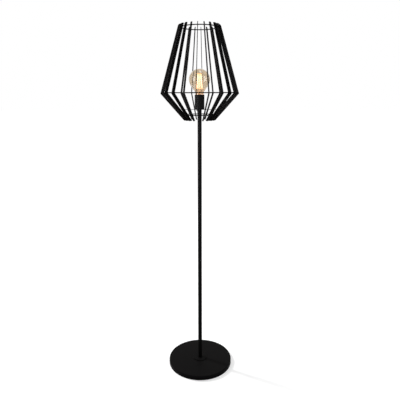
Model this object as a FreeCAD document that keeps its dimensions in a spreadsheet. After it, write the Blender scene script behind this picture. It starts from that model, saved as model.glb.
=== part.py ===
import FreeCAD, Part
import os

import Sketcher

# Floor lamp with an open cage of flat bars round a globe bulb.
# Millimetres, +Z up. The origin is on the floor, on the axis of the pole, and the lead
# enters at the back, on +Y. Angles of the cage bars are counted about the pole's axis.

doc = FreeCAD.newDocument("CageFloorLamp")


# ---------------------------------------------------------------- sizes

sizes = doc.addObject("Spreadsheet::Sheet", "Sizes")
places = doc.addObject("Spreadsheet::Sheet", "Places")

driving_sizes = [
    # base
    ("baseRadius", 153.5, "base, outside radius"),
    ("baseHeight", 21.0, "base, floor to top face"),
    ("coverWall", 1.5, "pressed cover, wall"),
    ("coverEdge", 3.0, "pressed cover, radius of its top edge, drawn as two flats"),
    ("skirtLift", 0.6, "cover's skirt above the floor"),
    ("weightGap", 0.4, "iron weight to the cover's skirt"),
    ("padThickness", 2.0, "felt pad under the weight"),
    ("padInset", 4.0, "felt pad inside the weight's edge"),
    ("padRim", 3.0, "felt pad outside the recess"),
    ("washerRadius", 24.0, "clamping washer, outside radius"),
    ("recessRoom", 3.0, "recess round the washer"),
    ("washerThickness", 1.5, "clamping washer"),
    ("ringNutAcross", 27.0, "ring nut, across flats"),
    ("ringNutThickness", 3.0, "ring nut"),
    ("discRadius", 34.5, "disc at the foot of the pole, radius"),
    ("discThickness", 2.6, "disc at the foot of the pole"),
    ("discEdge", 0.8, "disc, bevel of its top edge"),
    # lead inlet and lead
    ("leadDiameter", 5.2, "round lead, outside"),
    ("leadRoom", 0.4, "slots and bores round the lead, each side"),
    ("leadBend", 7.0, "lead, bend at the foot of the pole"),
    ("bushFloorGap", 0.4, "inlet bush above the floor"),
    ("bushSlack", 0.2, "inlet bush round the lead, each side"),
    ("bushWall", 1.0, "inlet bush, wall of its neck"),
    ("bushRim", 1.0, "inlet bush, flanges beyond the neck"),
    ("bushLip", 1.4, "inlet bush, outer flange thickness"),
    ("bushTail", 1.6, "inlet bush, inner flange thickness"),
    # pole
    ("poleDiameter", 19.0, "pole, outside"),
    ("poleWall", 1.5, "pole, wall"),
    ("poleEnd", 2.3, "lower end of the pole above the floor"),
    ("poleLength", 1251.2, "pole, length"),
    ("plugLength", 18.0, "threaded plug in the pole's top"),
    ("fitGap", 0.05, "turned fits, each side"),
    ("passGap", 0.25, "parts passing through sheet metal, each side"),
    # cage
    ("slatCount", 20, "bars in the cage"),
    ("slatWidth", 15.0, "cage bar, width of the strip"),
    ("slatThickness", 2.0, "cage bar, thickness"),
    ("firstSlatAngle", 13.28, "first bar, from the front towards the right"),
    ("cageTopRise", 367.9, "top of the cage above the carrier"),
    ("cageBendRise", 69.8, "bend of the cage above the carrier"),
    ("cageDrop", 49.7, "bottom of the cage below the carrier"),
    ("cageTopRadius", 92.9, "cage radius at its top"),
    ("cageBendRadius", 176.8, "cage radius at its bend"),
    ("cageBottomRadius", 71.4, "cage radius at its bottom"),
    ("topCornerRound", 13.0, "bar, outer corner at the top"),
    ("bottomCornerRound", 6.0, "bar, outer corner at the bottom"),
    ("outerBendRound", 4.5, "bar, outer radius of the bend"),
    ("innerBendRound", 8.0, "bar, inner radius of the bend"),
    ("ringWire", 4.6, "wire of the three rings, diameter"),
    ("ringInset", 1.1, "ring wire's centre inside the bars' inner edge"),
    ("ringGap", 0.1, "notch to the ring wire, each side"),
    ("topRingDrop", 12.6, "top ring below the top of the cage"),
    ("bottomRingRise", 25.3, "bottom ring above the bottom of the cage"),
    # carrier of the cage
    ("carrierThickness", 1.5, "carrier plate"),
    ("carrierArms", 4, "arms of the carrier"),
    ("hubInset", 0.55, "carrier, hub inside the cup's outline"),
    ("armWidth", 14.0, "carrier, width of an arm"),
    ("armBite", 6.0, "fork of an arm past the bar's inner edge"),
    ("armRound", 5.0, "carrier, corner between arm and hub"),
    ("forkGap", 0.1, "fork of an arm round the bar"),
    # lampholder
    ("cupRadius", 21.95, "holder cup, outside radius"),
    ("cupHeight", 64.8, "holder cup"),
    ("cupWall", 1.2, "holder cup, wall"),
    ("cupEdge", 0.9, "holder cup, bevel of its lower edge"),
    ("nippleDiameter", 10.0, "threaded tube, outside"),
    ("nippleBore", 7.0, "threaded tube, bore"),
    ("nippleLength", 28.0, "threaded tube"),
    ("nippleBite", 15.0, "threaded tube inside the pole's plug"),
    ("cupNutAcross", 17.0, "nut in the cup, across flats"),
    ("cupNutThickness", 3.0, "nut in the cup"),
    ("holderRoom", 1.55, "lampholder to the cup's wall"),
    ("holderWall", 1.9, "lampholder, wall of the lower half"),
    ("holderFloor", 2.5, "lampholder, floor"),
    ("bossHeight", 6.0, "lampholder, height of its threaded boss"),
    ("bossWall", 2.95, "lampholder, wall of its threaded boss"),
    ("holderSplit", 18.0, "lampholder, height of the lower half"),
    ("holderHeight", 50.0, "lampholder, both halves"),
    ("deckThickness", 4.0, "ceramic deck"),
    ("deckGap", 0.1, "pieces clipped into the lampholder"),
    ("threadGap", 0.3, "bulb cap in the screw shell, each side"),
    ("shellWall", 0.5, "screw shell, wall"),
    ("shellSunk", 1.9, "screw shell below the lampholder's top"),
    ("shellFloorHole", 9.0, "screw shell, hole in its floor"),
    ("contactRise", 4.6, "centre contact above the deck"),
    ("contactWidth", 6.0, "centre contact, width of the leaf"),
    ("contactThickness", 0.5, "centre contact, leaf"),
    ("contactFoot", 7.0, "centre contact, end of its foot from the axis"),
    ("contactRamp", 4.5, "centre contact, start of its ramp from the axis"),
    ("contactCrest", 1.5, "centre contact, half its crest"),
    ("contactLip", 3.2, "centre contact, end of its lip from the axis"),
    ("contactLipDrop", 1.0, "centre contact, lip below the crest"),
    ("contactGap", 0.2, "centre contact to the bulb's tip at rest"),
    ("terminalReach", 11.0, "terminals from the axis"),
    ("terminalWidth", 5.0, "terminal block, width"),
    ("terminalHeight", 4.5, "terminal block, height"),
    ("screwRadius", 1.2, "terminal screw, shank radius"),
    ("screwHead", 2.0, "terminal screw, head radius"),
    ("screwHeadHeight", 1.4, "terminal screw, head"),
    ("coreDiameter", 2.0, "insulated core of the lead"),
    ("coreSpace", 0.4, "between the two cores in the lead"),
    ("coreBend", 2.2, "cores, bends"),
    # bulb
    ("globeRadius", 47.5, "bulb, globe radius"),
    ("globeRise", 100.1, "bulb, tip to the globe's centre"),
    ("globeLowerCones", 4, "globe, cones below its widest circle"),
    ("globeUpperCones", 10, "globe, cones above its widest circle"),
    ("glassWall", 1.0, "bulb, glass"),
    ("neckLean", 35.0, "bulb, slope from globe to neck"),
    ("neckRadius", 18.7, "bulb, neck radius"),
    ("neckBevel", 3.2, "bulb, flat where the neck meets the globe, each side"),
    ("shoulderRise", 32.6, "bulb, tip to the neck's shoulder"),
    ("shoulderBevel", 1.5, "bulb, flat at the shoulder, each side"),
    ("cementGap", 0.3, "bulb, glass to the inside of its cap"),
    ("sealRise", 17.0, "bulb, tip to the lower end of the glass"),
    ("capRadius", 13.1, "bulb cap, radius"),
    ("capWall", 0.4, "bulb cap, wall"),
    ("capRise", 25.5, "bulb, tip to the top of the cap"),
    ("capFoot", 5.2, "bulb, tip to the foot of the cap"),
    ("capLower", 2.6, "bulb cap, height of the cone at its foot"),
    ("tipRadius", 4.8, "solder tip, radius"),
    ("tipHeight", 1.2, "solder tip"),
    ("insulatorInset", 2.5, "cap insulator inside the cap's radius"),
    ("flareGap", 0.3, "glass stem, flare to the bulb's glass"),
    ("stemNeck", 3.2, "glass stem, tube radius"),
    ("stemWall", 0.9, "glass stem, wall of the flare"),
    ("stemFlareRise", 17.6, "tip to the stem's flare"),
    ("stemTubeRise", 32.0, "tip to the foot of the stem's tube"),
    ("stemPressRise", 45.0, "tip to the top of the stem's press"),
    ("stemRod", 1.3, "glass rod, radius"),
    ("stemRodAbove", 1.5, "glass rod above the upper hooks"),
    ("beadRadius", 2.6, "collars that hold the hooks, radius"),
    ("beadHeight", 2.4, "collars that hold the hooks"),
    ("strandCount", 12, "strands of the filament, an even number"),
    ("strandWire", 0.35, "filament, wire radius"),
    ("turnWire", 0.3, "filament, wire radius where it turns round a hook"),
    ("strandLowRadius", 12.5, "filament, radius at its foot"),
    ("strandTopRadius", 8.0, "filament, radius at its top"),
    ("strandLowRise", 59.7, "tip to the foot of the filament"),
    ("strandTopRise", 126.2, "tip to the top of the filament"),
    ("hookWire", 0.25, "hooks and inner leads, wire radius"),
]

# Where one piece sits on another, worked out from the sizes above.
derived_places = [
    ("coverUnder", "Sizes.baseHeight - Sizes.coverWall", "underside of the cover"),
    ("skirtInside", "Sizes.baseRadius - Sizes.coverWall", "inside of the skirt"),
    ("edgeMiddle", "Sizes.coverEdge * (1 - cos(45))", "middle of the cover's round edge"),
    ("weightRadius", "skirtInside - Sizes.weightGap", "iron weight"),
    ("bushBore", "Sizes.leadDiameter / 2 + Sizes.bushSlack", "bush, bore radius"),
    ("bushNeck", "bushBore + Sizes.bushWall", "bush, neck radius"),
    ("bushFlange", "bushNeck + Sizes.bushRim", "bush, flange radius"),
    ("inletHeight", "Sizes.bushFloorGap + bushFlange", "axis of the lead's level run"),
    ("recessRadius", "Sizes.washerRadius + Sizes.recessRoom", "recess of the weight"),
    ("nutUnder", "inletHeight + Sizes.leadDiameter / 2 + Sizes.leadRoom / 2",
     "ring nut clears the lead"),
    ("washerUnder", "nutUnder + Sizes.ringNutThickness", "washer on the nut"),
    ("recessCeiling", "washerUnder + Sizes.washerThickness", "recess of the weight"),
    ("poleRadius", "Sizes.poleDiameter / 2", "pole"),
    ("poleBore", "poleRadius - Sizes.poleWall", "pole, inside radius"),
    ("poleHole", "poleRadius + Sizes.passGap", "holes that the pole passes"),
    ("leadSlot", "Sizes.leadDiameter / 2 + Sizes.leadRoom", "slots round the lead"),
    ("bushInner", "skirtInside - Sizes.leadRoom / 2 - Sizes.bushTail", "bush, inner end"),
    ("poleTop", "Sizes.poleEnd + Sizes.poleLength", "top of the pole"),
    ("carrierTop", "poleTop + Sizes.carrierThickness", "top of the carrier plate"),
    ("cageTop", "carrierTop + Sizes.cageTopRise", "top of the cage"),
    ("bendHeight", "carrierTop + Sizes.cageBendRise", "outer corner of the bend"),
    ("cageBottom", "carrierTop - Sizes.cageDrop", "bottom of the cage"),
    ("upperLean", "atan((Sizes.cageBendRadius - Sizes.cageTopRadius)"
     " / (cageTop - bendHeight))", "lean of the bars above the bend"),
    ("lowerLean", "atan((Sizes.cageBendRadius - Sizes.cageBottomRadius)"
     " / (bendHeight - cageBottom))", "lean of the bars below the bend"),
    ("bendHalf", "90 deg - (upperLean + lowerLean) / 2", "half the angle of the bend"),
    ("bendTilt", "(lowerLean - upperLean) / 2", "tilt of the bend's bisector"),
    ("bendDepth", "Sizes.slatWidth / sin(bendHalf)", "strip along the bisector"),
    ("innerBendRadius", "Sizes.cageBendRadius - bendDepth * cos(bendTilt)",
     "inner corner of the bend, radius"),
    ("innerBendHeight", "bendHeight + bendDepth * sin(bendTilt)",
     "inner corner of the bend, height"),
    ("topInnerRadius", "Sizes.cageTopRadius - Sizes.slatWidth / cos(upperLean)",
     "bar's inner edge at the top"),
    ("bottomInnerRadius", "Sizes.cageBottomRadius - Sizes.slatWidth / cos(lowerLean)",
     "bar's inner edge at the bottom"),
    ("topRingHeight", "cageTop - Sizes.topRingDrop", "top ring"),
    ("topRingRadius", "topInnerRadius + Sizes.topRingDrop * tan(upperLean)"
     " - Sizes.ringInset / cos(upperLean)", "top ring"),
    ("bendRingInset", "Sizes.innerBendRound * (1 / sin(bendHalf) - 1) + Sizes.ringInset",
     "middle ring along the bisector"),
    ("middleRingHeight", "innerBendHeight + bendRingInset * sin(bendTilt)", "middle ring"),
    ("middleRingRadius", "innerBendRadius - bendRingInset * cos(bendTilt)", "middle ring"),
    ("bottomRingHeight", "cageBottom + Sizes.bottomRingRise", "bottom ring"),
    ("bottomRingRadius", "bottomInnerRadius + Sizes.bottomRingRise * tan(lowerLean)"
     " - Sizes.ringInset / cos(lowerLean)", "bottom ring"),
    ("notchHalf", "Sizes.ringWire / 2 + Sizes.ringGap", "notch for a ring, half its side"),
    ("forkFloor", "bottomInnerRadius + (poleTop - cageBottom) * tan(lowerLean)"
     " - Sizes.forkGap", "bottom of an arm's fork"),
    ("armEnd", "forkFloor + Sizes.armBite", "end of an arm"),
    ("nippleRadius", "Sizes.nippleDiameter / 2", "threaded tube"),
    ("nippleHole", "nippleRadius + Sizes.passGap", "holes that the tube passes"),
    ("nippleFoot", "poleTop - Sizes.nippleBite", "lower end of the tube"),
    ("nippleTop", "nippleFoot + Sizes.nippleLength", "upper end of the tube"),
    ("hubRadius", "Sizes.cupRadius - Sizes.hubInset", "hub of the carrier"),
    ("cupFloor", "carrierTop + Sizes.cupWall", "floor of the cup"),
    ("holderRadius", "Sizes.cupRadius - Sizes.cupWall - Sizes.holderRoom", "lampholder"),
    ("holderBore", "holderRadius - Sizes.holderWall", "lampholder, inside radius"),
    ("holderSeat", "cupFloor + Sizes.cupNutThickness + Sizes.deckGap",
     "lampholder on the nut"),
    ("deckRadius", "holderBore - Sizes.deckGap", "ceramic deck"),
    ("deckUnder", "holderSeat + Sizes.holderSplit + Sizes.deckGap", "ceramic deck"),
    ("deckTop", "deckUnder + Sizes.deckThickness", "ceramic deck"),
    ("shellRadius", "Sizes.capRadius + Sizes.threadGap", "screw shell, inside"),
    ("shellOutside", "shellRadius + Sizes.shellWall", "screw shell"),
    ("shellHeight", "holderSeat + Sizes.holderHeight - Sizes.shellSunk - deckTop",
     "screw shell"),
    ("bulbSeat", "deckTop + Sizes.contactRise + Sizes.contactGap", "tip of the bulb"),
    ("sheathTop", "nippleTop + Sizes.leadRoom", "end of the lead's sheath"),
    ("terminalUnder", "deckUnder - Sizes.terminalHeight", "terminal blocks"),
    ("coreReach", "(Sizes.coreDiameter + Sizes.coreSpace) / 2", "core from the axis"),
    ("capBore", "Sizes.capRadius - Sizes.capWall", "bulb cap, inside"),
    ("sealRadius", "capBore - Sizes.cementGap", "bulb's glass inside the cap"),
    ("insulatorRadius", "Sizes.capRadius - Sizes.insulatorInset", "cap insulator"),
    ("stemFlare", "sealRadius - Sizes.glassWall - Sizes.flareGap", "flare of the stem"),
    ("strandTurn", "180 / Sizes.strandCount", "half the angle between two strands"),
]


def fill_sheet(sheet, rows, prefix):
    for row, (alias, content, note) in enumerate(rows, start=1):
        sheet.set("A%d" % row, note)
        sheet.set("B%d" % row, prefix + str(content))
        sheet.setAlias("B%d" % row, alias)


fill_sheet(sizes, driving_sizes, "")
fill_sheet(places, derived_places, "=")
doc.recompute()


def value(expression):
    """Number that an expression on the two sheets stands for."""
    result = places.evalExpression(expression)
    return float(getattr(result, "Value", result))


# ---------------------------------------------------------------- modelling helpers

nodes = []


def keep(feature, label):
    """Name a finished sub-part; its label is the name of its file."""
    feature.Label = label
    nodes.append(feature)
    return feature


def new_body(label):
    return keep(doc.addObject("PartDesign::Body", label), label)


def raise_to(feature, height):
    feature.setExpression(".Placement.Base.z", height)


def turn_to(feature, angle):
    feature.setExpression(".Placement.Rotation.Angle", angle)


def new_sketch(body, name, plane, offset=None, turn=None):
    """Sketch on a plane of the body, set off from it or turned about the upright axis."""
    sketch = body.newObject("Sketcher::SketchObject", name)
    support = [item for item in body.Origin.OriginFeatures if item.Role == plane]
    sketch.AttachmentSupport = [(support[0], "")]
    sketch.MapMode = "FlatFace"
    if turn:
        sketch.AttachmentOffset.Rotation = FreeCAD.Rotation(FreeCAD.Vector(0, 1, 0), 1)
        sketch.setExpression(".AttachmentOffset.Rotation.Angle", turn)
    if offset and turn:
        sketch.setExpression(".AttachmentOffset.Base.x", "(%s) * sin(%s)" % (offset, turn))
        sketch.setExpression(".AttachmentOffset.Base.z", "(%s) * cos(%s)" % (offset, turn))
    elif offset:
        sketch.setExpression(".AttachmentOffset.Base.z", offset)
    return sketch


def hold_along(sketch, item, end, kind, expression):
    """Tie one coordinate of a point of the sketch to an expression."""
    if expression == "0":
        axis = -2 if kind == "DistanceX" else -1
        sketch.addConstraint(Sketcher.Constraint("PointOnObject", item, end, axis))
    else:
        number = sketch.addConstraint(
            Sketcher.Constraint(kind, -1, 1, item, end, value(expression)))
        sketch.setExpression("Constraints[%d]" % number, expression)


def hold_point(sketch, item, end, across, up):
    hold_along(sketch, item, end, "DistanceX", across)
    hold_along(sketch, item, end, "DistanceY", up)


def hold_radius(sketch, item, radius):
    number = sketch.addConstraint(Sketcher.Constraint("Radius", item, value(radius)))
    sketch.setExpression("Constraints[%d]" % number, radius)


def draw_outline(sketch, corners):
    """Closed outline of straight lines through the corners."""
    points = [FreeCAD.Vector(value(x), value(y), 0) for x, y in corners]
    lines = [sketch.addGeometry(Part.LineSegment(start, end))
             for start, end in zip(points, points[1:] + points[:1])]
    for line, follower in zip(lines, lines[1:] + lines[:1]):
        sketch.addConstraint(Sketcher.Constraint("Coincident", line, 2, follower, 1))
    for line, (x, y) in zip(lines, corners):
        hold_point(sketch, line, 1, x, y)


def eight_flats(radius, across="0", up="0"):
    """Corners of a wire's section: eight flats round its circle, which keeps it light."""
    flat = "(%s) * tan(22.5)" % radius
    steps = [(radius, flat), (flat, radius), ("-" + flat, radius), ("-" + radius, flat),
             ("-" + radius, "-" + flat), ("-" + flat, "-" + radius),
             (flat, "-" + radius), (radius, "-" + flat)]
    return [("%s + (%s)" % (across, right), "%s + (%s)" % (up, above))
            for right, above in steps]


def draw_circle(sketch, radius):
    circle = Part.Circle(FreeCAD.Vector(), FreeCAD.Vector(0, 0, 1), value(radius))
    item = sketch.addGeometry(circle)
    sketch.addConstraint(Sketcher.Constraint("Coincident", item, 3, -1, 1))
    hold_radius(sketch, item, radius)


def draw_arch(sketch, half_width, spring, foot):
    """Upright slot with a round top: half width, height of the arc's centre, lower end."""
    half = value(half_width)
    centre_height = value(spring)
    low = value(foot)
    right_foot = FreeCAD.Vector(half, low, 0)
    right_spring = FreeCAD.Vector(half, centre_height, 0)
    left_spring = FreeCAD.Vector(-half, centre_height, 0)
    left_foot = FreeCAD.Vector(-half, low, 0)
    crown = FreeCAD.Vector(0, centre_height + half, 0)
    sketch.addGeometry(Part.LineSegment(right_foot, right_spring))
    sketch.addGeometry(Part.Arc(right_spring, crown, left_spring))
    sketch.addGeometry(Part.LineSegment(left_spring, left_foot))
    sketch.addGeometry(Part.LineSegment(left_foot, right_foot))
    sketch.addConstraint(Sketcher.Constraint("Tangent", 0, 2, 1, 1))
    sketch.addConstraint(Sketcher.Constraint("Tangent", 1, 2, 2, 1))
    sketch.addConstraint(Sketcher.Constraint("Coincident", 2, 2, 3, 1))
    sketch.addConstraint(Sketcher.Constraint("Coincident", 3, 2, 0, 1))
    sketch.addConstraint(Sketcher.Constraint("Vertical", 0))
    sketch.addConstraint(Sketcher.Constraint("Vertical", 2))
    sketch.addConstraint(Sketcher.Constraint("Horizontal", 3))
    hold_point(sketch, 1, 3, "0", spring)
    hold_radius(sketch, 1, half_width)
    hold_along(sketch, 0, 1, "DistanceY", foot)


def pad(body, sketch, length, symmetric=False):
    feature = body.newObject("PartDesign::Pad", body.Name + "Pad")
    feature.Profile = sketch
    feature.setExpression("Length", length)
    if symmetric:
        feature.SideType = "Symmetric"
    doc.recompute()
    return feature


def pocket(body, sketch, symmetric=False):
    """Cut right through from the sketch, away from its normal, and check that it cuts."""
    before = body.Shape.Volume
    feature = body.newObject("PartDesign::Pocket", body.Name + "Pocket")
    feature.Profile = sketch
    feature.Type = "ThroughAll"
    if symmetric:
        feature.SideType = "Symmetric"
    doc.recompute()
    if body.Shape.Volume >= before:
        raise RuntimeError("%s cuts nothing from %s" % (feature.Name, body.Label))
    return feature


def revolve(body, sketch, axis="V_Axis"):
    feature = body.newObject("PartDesign::Revolution", body.Name + "Turned")
    feature.Profile = sketch
    feature.ReferenceAxis = (sketch, [axis])
    feature.Angle = 360
    doc.recompute()
    return feature


def turned(body, corners, plane="XZ_Plane", axis="V_Axis"):
    """Turned piece from the corners of its half section: radius, height."""
    sketch = new_sketch(body, body.Name + "Section", plane)
    draw_outline(sketch, corners)
    return revolve(body, sketch, axis)


def tube(body, outer, inner, length):
    sketch = new_sketch(body, body.Name + "Section", "XY_Plane")
    draw_circle(sketch, outer)
    draw_circle(sketch, inner)
    return pad(body, sketch, length)


def round_edges(body, radius, points):
    """Round the edges of the body that run through the given points."""
    base = body.Tip
    names = []
    for point in points:
        mark = Part.Vertex(*point)
        for number, edge in enumerate(base.Shape.Edges, start=1):
            if edge.distToShape(mark)[0] < 0.001:
                names.append("Edge%d" % number)
    feature = body.newObject("PartDesign::Fillet", body.Name + "Round")
    feature.Base = (base, names)
    feature.setExpression("Radius", radius)
    doc.recompute()
    return feature


def around(body, features, count, angle="360"):
    """Repeat features about the upright axis."""
    pattern = body.newObject("PartDesign::PolarPattern", body.Name + "Pattern")
    pattern.Originals = features
    pattern.Axis = (body.Origin.OriginFeatures[2], [""])
    pattern.setExpression("Angle", angle)
    pattern.setExpression("Occurrences", count)
    body.Tip = pattern
    doc.recompute()
    return pattern


def hexagon_nut(label, across, bore, thickness, height):
    prism = doc.addObject("Part::Prism", label + "_prism")
    prism.Polygon = 6
    prism.setExpression("Circumradius", across + " / 2 / cos(30)")
    prism.setExpression("Height", thickness)
    hole = doc.addObject("Part::Cylinder", label + "_thread")
    hole.setExpression("Radius", bore)
    hole.setExpression("Height", thickness)
    nut = doc.addObject("Part::Cut", label)
    nut.Base = prism
    nut.Tool = hole
    raise_to(nut, height)
    return keep(nut, label)


# ---------------------------------------------------------------- base

def make_base_cover():
    cover = new_body("base_cover")
    turned(cover, [
        ("Places.poleHole", "Places.coverUnder"),
        ("Places.skirtInside", "Places.coverUnder"),
        ("Places.skirtInside", "Sizes.skirtLift"),
        ("Sizes.baseRadius", "Sizes.skirtLift"),
        ("Sizes.baseRadius", "Sizes.baseHeight - Sizes.coverEdge"),
        ("Sizes.baseRadius - Places.edgeMiddle", "Sizes.baseHeight - Places.edgeMiddle"),
        ("Sizes.baseRadius - Sizes.coverEdge", "Sizes.baseHeight"),
        ("Places.poleHole", "Sizes.baseHeight"),
    ])
    notch = new_sketch(cover, "cover_inlet", "XZ_Plane")
    draw_arch(notch, "Places.bushNeck + Sizes.fitGap", "Places.inletHeight",
              "-Sizes.skirtLift")
    pocket(cover, notch)


def make_base_weight():
    weight = new_body("base_weight")
    turned(weight, [
        ("Places.poleHole", "Places.recessCeiling"),
        ("Places.recessRadius", "Places.recessCeiling"),
        ("Places.recessRadius", "Sizes.padThickness"),
        ("Places.weightRadius", "Sizes.padThickness"),
        ("Places.weightRadius", "Places.coverUnder"),
        ("Places.poleHole", "Places.coverUnder"),
    ])
    groove = new_sketch(weight, "lead_groove", "XZ_Plane")
    draw_arch(groove, "Places.leadSlot", "Places.inletHeight", "-Sizes.skirtLift")
    pocket(weight, groove)
    bush_room = new_sketch(weight, "bush_room", "XZ_Plane",
                           "Sizes.leadRoom - Places.bushInner")
    draw_arch(bush_room, "Places.bushFlange + Sizes.leadRoom", "Places.inletHeight",
              "-Sizes.skirtLift")
    pocket(weight, bush_room)


def make_base_pad():
    felt = new_body("base_pad")
    tube(felt, "Places.weightRadius - Sizes.padInset", "Places.recessRadius + Sizes.padRim",
         "Sizes.padThickness")


def make_foot_disc():
    disc = new_body("foot_disc")
    bore = "Places.poleRadius + Sizes.fitGap"
    turned(disc, [
        (bore, "0"),
        ("Sizes.discRadius", "0"),
        ("Sizes.discRadius", "Sizes.discThickness - Sizes.discEdge"),
        ("Sizes.discRadius - Sizes.discEdge", "Sizes.discThickness"),
        (bore, "Sizes.discThickness"),
    ])
    raise_to(disc, "Sizes.baseHeight")


def make_clamp():
    washer = new_body("clamp_washer")
    tube(washer, "Sizes.washerRadius", "Places.poleHole", "Sizes.washerThickness")
    raise_to(washer, "Places.washerUnder")
    hexagon_nut("ring_nut", "Sizes.ringNutAcross", "Places.poleRadius + Sizes.fitGap",
                "Sizes.ringNutThickness", "Places.nutUnder")


def make_cord_bush():
    bush = new_body("cord_bush")
    skirt_gap = "Sizes.leadRoom / 2"
    wall_inside = "Places.skirtInside - " + skirt_gap
    lip_end = "Sizes.baseRadius + Sizes.bushLip"
    turned(bush, [
        ("Places.bushInner", "Places.bushBore"),
        ("Places.bushInner", "Places.bushFlange"),
        (wall_inside, "Places.bushFlange"),
        (wall_inside, "Places.bushNeck"),
        ("Sizes.baseRadius", "Places.bushNeck"),
        ("Sizes.baseRadius", "Places.bushFlange"),
        ("Sizes.baseRadius + Sizes.bushLip / 2", "Places.bushFlange"),
        (lip_end, "Places.bushFlange - Sizes.bushLip / 2"),
        (lip_end, "Places.bushBore"),
    ], "YZ_Plane", "H_Axis")
    raise_to(bush, "Places.inletHeight")


# ---------------------------------------------------------------- pole and lead

def make_pole():
    pole = new_body("pole")
    tube(pole, "Places.poleRadius", "Places.poleBore", "Sizes.poleLength")
    slot = new_sketch(pole, "lead_slot", "XZ_Plane")
    draw_arch(slot, "Places.leadSlot", "Places.inletHeight - Sizes.poleEnd", "-Sizes.poleEnd")
    pocket(pole, slot)
    raise_to(pole, "Sizes.poleEnd")

    plug = new_body("pole_plug")
    tube(plug, "Places.poleBore - Sizes.fitGap", "Places.nippleRadius + Sizes.fitGap",
         "Sizes.plugLength")
    raise_to(plug, "Places.poleTop - Sizes.plugLength")

    nipple = new_body("threaded_tube")
    tube(nipple, "Places.nippleRadius", "Sizes.nippleBore / 2", "Sizes.nippleLength")
    raise_to(nipple, "Places.nippleFoot")


def draw_path(sketch, corners, bend):
    """Open path of upright and level runs, joined by arcs that are tangent to them."""
    points = [FreeCAD.Vector(value(x), value(y), 0) for x, y in corners]
    radius = value(bend)
    start = points[0]
    pieces = []
    for before, corner, after in zip(points, points[1:], points[2:]):
        back = (before - corner).normalize()
        ahead = (after - corner).normalize()
        middle = corner + (back + ahead) * (radius * (1 - 0.5 ** 0.5))
        run = sketch.addGeometry(Part.LineSegment(start, corner + back * radius))
        arc = sketch.addGeometry(
            Part.Arc(corner + back * radius, middle, corner + ahead * radius))
        hold_radius(sketch, arc, bend)
        turns_left = ahead.cross(back).z > 0
        pieces += [(run, 1, 2), (arc, 1, 2) if turns_left else (arc, 2, 1)]
        start = corner + ahead * radius
    pieces.append((sketch.addGeometry(Part.LineSegment(start, points[-1])), 1, 2))
    for (item, _, finish), (follower, begin, _) in zip(pieces, pieces[1:]):
        sketch.addConstraint(Sketcher.Constraint("Tangent", item, finish, follower, begin))
    for number, (x, y) in enumerate(corners[:-1]):
        item = pieces[2 * number][0]
        if corners[number + 1][0] == x:
            sketch.addConstraint(Sketcher.Constraint("Vertical", item))
            hold_along(sketch, item, 1, "DistanceX", x)
        else:
            sketch.addConstraint(Sketcher.Constraint("Horizontal", item))
            hold_along(sketch, item, 1, "DistanceY", y)
    for item, end, (x, y), (next_x, _) in (
            (pieces[0][0], 1, corners[0], corners[1]),
            (pieces[-1][0], 2, corners[-1], corners[-2])):
        if x == next_x:
            hold_along(sketch, item, end, "DistanceY", y)
        else:
            hold_along(sketch, item, end, "DistanceX", x)


def pipe(body, path, profile):
    feature = body.newObject("PartDesign::AdditivePipe", body.Name + "Pipe")
    feature.Profile = profile
    feature.Spine = path
    doc.recompute()
    return feature


def make_lead():
    """Sheathed lead from the inlet bush up to the lampholder, and its two cores."""
    lead = new_body("inner_lead")
    path = new_sketch(lead, "lead_path", "YZ_Plane")
    draw_path(path, [
        ("Places.bushInner", "Places.inletHeight"),
        ("0", "Places.inletHeight"),
        ("0", "Places.sheathTop"),
    ], "Sizes.leadBend")
    section = new_sketch(lead, "lead_section", "XY_Plane", "Places.sheathTop")
    draw_circle(section, "Sizes.leadDiameter / 2")
    pipe(lead, path, section)

    level = "Places.terminalUnder + Sizes.terminalHeight / 2"
    for label, angle in (("core_live", "0"), ("core_neutral", "180")):
        core = new_body(label)
        path = new_sketch(core, label + "_path", "XZ_Plane")
        draw_path(path, [
            ("Places.coreReach", "Places.sheathTop"),
            ("Places.coreReach", level),
            ("Sizes.terminalReach - Sizes.terminalWidth / 2", level),
        ], "Sizes.coreBend")
        section = new_sketch(core, label + "_section", "XY_Plane", "Places.sheathTop")
        draw_outline(section, eight_flats("Sizes.coreDiameter / 2", "Places.coreReach"))
        pipe(core, path, section)
        turn_to(core, angle)


# ---------------------------------------------------------------- cage

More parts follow.
